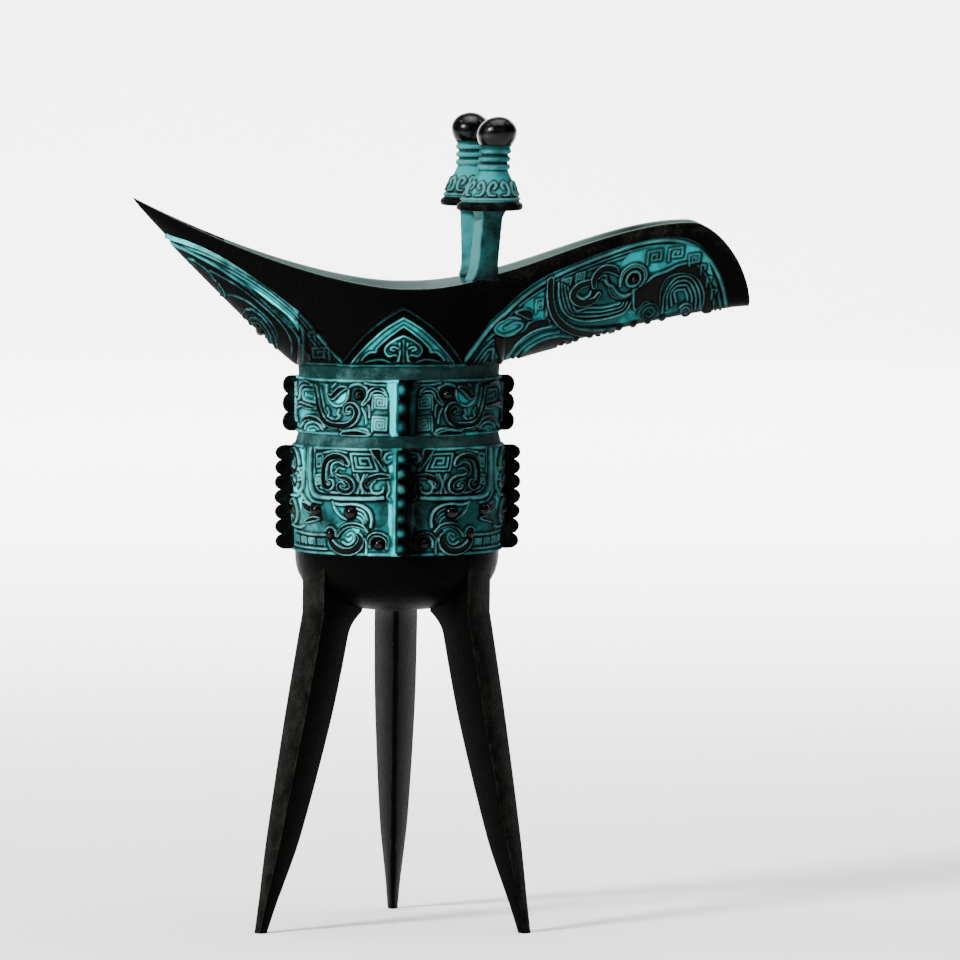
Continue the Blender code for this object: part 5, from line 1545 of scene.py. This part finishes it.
class JUE_OT_handle(bpy.types.Operator):
    """Make the strap handle at the back with its animal head"""

    bl_idname = "jue.handle"
    bl_label = "Handle"

    # Depth in the wall, turns of the loop's knots in degrees, and points round the strap
    ROOT = 1.4
    TILTS = (60, 35, 10, -15, -40, -62)
    STRAP_ROUND = 28
    # Depth and width of the groove along the strap's two faces
    GROOVE = 0.35
    GROOVE_WIDTH = 1.1
    # Sections of the head: distance from the wall, half width and drop of the top under the brow
    HEAD = [(-1.2, 4.6, 0.0), (1.0, 4.9, 0.0), (3.4, 4.9, 0.0), (5.2, 4.3, 0.7), (6.8, 3.7, 1.6),
            (8.6, 3.4, 2.0), (10.0, 2.9, 2.5), (10.5, 1.6, 3.1)]
    HEAD_ROUND = 36
    # Height of the brow over the handle, and how far the head goes under the strap
    BROW = 2.6
    CHIN = 0.6
    # Place of the eyes to the side, out from the wall and under the brow, and their radius
    EYE = (2.9, 5.9, 1.4)
    EYE_RADIUS = 1.15
    # Place of the ears to the side, out from the wall and under the brow, and their height
    EAR = (3.3, 2.2, 1.0)
    EAR_HEIGHT = 4.0

    def execute(self, context):
        bowl, mouth, parts = sizes(context)
        wall = Wall(bowl, mouth)
        shell = Shell(bowl)
        top_wall = float(wall.bowl_half(np.array(parts.handle_top))) * bowl.oval
        foot_wall = float(wall.bowl_half(np.array(parts.handle_foot))) * bowl.oval
        self.strap(shell, parts, top_wall, foot_wall)
        self.head(shell, parts, top_wall)
        for side in (-1, 1):
            self.eye(shell, parts, top_wall, side)
            self.ear(shell, parts, top_wall, side)
        shell.make("handle", material(context, patinated_bronze), 60.0)
        return {"FINISHED"}

    def strap(self, shell, parts, top_wall, foot_wall):
        """A rounded flat section along a loop from wall to wall, with a groove along its two faces."""
        half = parts.handle_thickness / 2
        middle = (parts.handle_top + parts.handle_foot) / 2
        rise = parts.handle_height / 2 - half
        reach = parts.handle_reach - half
        high = parts.handle_top - half
        low = parts.handle_foot + half
        route = [(top_wall - self.ROOT, high), (top_wall + 0.45 * reach, high)]
        for tilt in self.TILTS:
            angle = math.radians(tilt)
            out = top_wall + reach * (0.5 + 0.5 * math.cos(angle))
            route.append((out, middle + rise * 0.96 * math.sin(angle)))
        route += [(foot_wall + 0.35 * reach, low), (foot_wall - self.ROOT, low)]
        path = curve(route, 8)
        along = np.gradient(path, axis=0)
        along /= np.linalg.norm(along, axis=1, keepdims=True)
        sweep = np.linspace(0.0, 2 * np.pi, self.STRAP_ROUND, endpoint=False)
        over = parts.handle_width / 2 * squared(np.cos(sweep), 0.5)
        out = half * squared(np.sin(sweep), 0.7)
        groove = self.GROOVE * np.exp(-(over / self.GROOVE_WIDTH) ** 2)
        out = out - np.sign(out) * groove
        y = path[:, :1] - along[:, 1:] * out[None]
        z = path[:, 1:] + along[:, :1] * out[None]
        shell.tube(np.stack((over[None] + 0 * y, y, z), axis=-1), 0.2 + groove[None] * 3.0 + 0 * y)

    def head(self, shell, parts, wall):
        """Head of a beast: rounded sections out from the wall, whose tops drop toward the snout."""
        low = parts.handle_top - parts.handle_thickness - self.CHIN
        brow = parts.handle_top + self.BROW
        knots = curve(self.HEAD, 5)
        sweep = np.linspace(0.0, 2 * np.pi, self.HEAD_ROUND, endpoint=False)
        top = brow - knots[:, 2]
        middle = (top + low) / 2
        x = knots[:, 1:2] * squared(np.cos(sweep), 0.6)[None]
        z = middle[:, None] + (top - middle)[:, None] * squared(np.sin(sweep), 0.6)[None]
        shell.tube(np.stack((x, wall + knots[:, :1] + 0 * x, z), axis=-1), 0.35)

    def eye(self, shell, parts, wall, side):
        """A ball, half sunk in the head."""
        turn = np.linspace(0.0, 2 * np.pi, 20, endpoint=False)[:, None]
        tilt = np.linspace(-np.pi / 2, np.pi / 2, 11)[None]
        across, out, drop = self.EYE
        brow = parts.handle_top + self.BROW
        points = np.stack((side * across + self.EYE_RADIUS * np.cos(tilt) * np.cos(turn),
                           wall + out + self.EYE_RADIUS * np.cos(tilt) * np.sin(turn),
                           brow - drop + self.EYE_RADIUS * np.sin(tilt) + 0 * turn), axis=-1)
        shell.grid(points, 0.0, ring=True)

    def ear(self, shell, parts, wall, side):
        """An ear of egg-shaped sections that narrow to a tip and lean outward as they rise."""
        share = np.linspace(0.0, 1.0, 16)[:, None]
        size = np.sqrt(np.clip(1.0 - share ** 2.2, 0.0, 1.0))
        around = np.linspace(0.0, 2 * np.pi, 20, endpoint=False)[None]
        across, out, drop = self.EAR
        brow = parts.handle_top + self.BROW
        points = np.stack((side * (across + 1.1 * share ** 2) + 1.5 * size * np.cos(around),
                           wall + out + 0.9 * size * np.sin(around) * (1.0 - 0.3 * np.cos(around)),
                           brow - drop + self.EAR_HEIGHT * share + 0 * around), axis=-1)
        shell.grid(points, 0.5 + 0.5 * np.sin(around) + 0 * share, tube=True)
        shell.cap(points[0], 0.2)


class JUE_OT_stage(bpy.types.Operator):
    """Make the floor, the lights and the camera"""

    bl_idname = "jue.stage"
    bl_label = "Stage"

    # Camera: turn toward the tail and height angle in degrees, distance, aim, width of view there and sensor
    AZIMUTH = -3.0
    ELEVATION = 3.8
    DISTANCE = 2.6
    TARGET = (0.0105, 0.0, 0.1174)
    SPAN = 0.2537
    SENSOR = 36.0
    FARTHEST = 20.0
    # Floor: its reach, where its cove starts behind the vessel and the cove's radius and steps
    REACH = 7.0
    COVE_START = 3.0
    COVE = 1.6
    COVE_STEPS = 24
    # Each light: name, place, aim, side in metres, power in watts and spread in degrees
    LIGHTS = (("top", (0.0, 0.0, 2.8), (0.0, 0.0, 0.0), 2.4, 55.0, 120.0),
              ("back", (0.9, 1.5, 0.8), (0.0, 0.0, 0.12), 0.8, 5.0, 120.0),
              ("key", (-1.2, -0.95, 1.0), (0.0, 0.0, 0.12), 0.32, 54.0, 160.0),
              ("fill", (1.0, -1.6, 0.6), (0.0, 0.0, 0.12), 0.8, 1.0, 160.0),
              ("wash_left", (-1.6, 0.9, 2.4), (0.3, 3.0, 0.0), 1.4, 150.0, 90.0),
              ("wash_right", (1.6, 0.9, 2.4), (-0.3, 3.0, 0.0), 1.4, 150.0, 90.0))
    AMBIENT = 0.05

    def execute(self, context):
        self.floor(context)
        self.lights(context)
        self.camera(context)
        return {"FINISHED"}

    def floor(self, context):
        """A strip that lies flat, turns up behind the vessel by a quarter round and goes on upright."""
        turn = np.radians(np.linspace(-90.0, 0.0, self.COVE_STEPS))[1:]
        wall = self.COVE_START + self.COVE
        cove_y = self.COVE_START + self.COVE * np.cos(turn)
        cove_z = self.COVE + self.COVE * np.sin(turn)
        y = np.concatenate(((-self.REACH, self.COVE_START), cove_y, (wall,)))
        z = np.concatenate(((0.0, 0.0), cove_z, (self.REACH,)))
        profile = np.stack((y, z), axis=1)
        places = [(side * self.REACH, y, z) for y, z in profile.tolist() for side in (-1, 1)]
        faces = [(2 * row, 2 * row + 1, 2 * row + 3, 2 * row + 2) for row in range(len(profile) - 1)]
        mesh = bpy.data.meshes.new("floor")
        mesh.from_pydata(places, [], faces)
        mesh.shade_smooth()
        shader = Shader("pale_floor")
        shader.set(Base__Color=context.scene.jue_finish.backdrop, Roughness=0.9)
        mesh.materials.append(shader.material)
        floor = bpy.data.objects.new("floor", mesh)
        context.scene.collection.objects.link(floor)

    def lights(self, context):
        """Six area lights and a faint even world.

        They are a small key from the front left, a large light from above, a weak one from behind, a weaker
        fill from the right, and two that wash the backdrop.
        """
        for name, place, target, size, power, spread in self.LIGHTS:
            data = bpy.data.lights.new(name, "AREA")
            data.energy = power
            data.size = size
            data.spread = math.radians(spread)
            light = bpy.data.objects.new(name, data)
            light.location = place
            light.rotation_euler = (Vector(target) - Vector(place)).to_track_quat("-Z", "Y").to_euler()
            context.scene.collection.objects.link(light)
        world = bpy.data.worlds.new("studio")
        world.use_nodes = True
        background = world.node_tree.nodes["Background"]
        background.inputs["Color"].default_value = (1.0, 1.0, 1.0, 1.0)
        background.inputs["Strength"].default_value = self.AMBIENT
        context.scene.world = world

    def camera(self, context):
        """Camera at the photograph's angle: a long lens, turned a little toward the tail."""
        turn = math.radians(self.AZIMUTH)
        tilt = math.radians(self.ELEVATION)
        target = Vector(self.TARGET)
        away = Vector((math.sin(turn) * math.cos(tilt), -math.cos(turn) * math.cos(tilt), math.sin(tilt)))
        data = bpy.data.cameras.new("camera")
        data.sensor_width = self.SENSOR
        data.lens = self.SENSOR * self.DISTANCE / self.SPAN
        data.clip_end = self.FARTHEST
        camera = bpy.data.objects.new("camera", data)
        camera.location = target + away * self.DISTANCE
        camera.rotation_euler = (-away).to_track_quat("-Z", "Y").to_euler()
        context.scene.collection.objects.link(camera)
        context.scene.camera = camera


class JUE_PT_panel(bpy.types.Panel):
    """Sidebar list of the pieces"""

    bl_idname = "JUE_PT_panel"
    bl_label = "Cast bronze jue"
    bl_space_type = "VIEW_3D"
    bl_region_type = "UI"
    bl_category = "Jue"

    def draw(self, context):
        scene = context.scene
        for group in (scene.jue_bowl, scene.jue_mouth, scene.jue_fittings, scene.jue_finish):
            column = self.layout.column(align=True)
            for name in group.__annotations__:
                column.prop(group, name)
        for operator in OPERATORS:
            self.layout.operator(operator.bl_idname)


GROUPS = {"jue_bowl": JueBowl, "jue_mouth": JueMouth, "jue_fittings": JueFittings, "jue_finish": JueFinish}
OPERATORS = (JUE_OT_body, JUE_OT_bands, JUE_OT_mouth_ornament, JUE_OT_flanges, JUE_OT_legs, JUE_OT_posts,
             JUE_OT_handle, JUE_OT_stage)


def register():
    for group in GROUPS.values():
        bpy.utils.register_class(group)
    for operator in OPERATORS:
        bpy.utils.register_class(operator)
    bpy.utils.register_class(JUE_PT_panel)
    for name, group in GROUPS.items():
        setattr(bpy.types.Scene, name, bpy.props.PointerProperty(type=group))


def unregister():
    for name in GROUPS:
        delattr(bpy.types.Scene, name)
    bpy.utils.unregister_class(JUE_PT_panel)
    for operator in reversed(OPERATORS):
        bpy.utils.unregister_class(operator)
    for group in reversed(list(GROUPS.values())):
        bpy.utils.unregister_class(group)


def main():
    """Make every piece in order."""
    register()
    for operator in OPERATORS:
        group, name = operator.bl_idname.split(".")
        getattr(getattr(bpy.ops, group), name)()


if __name__ == "__main__":
    main()
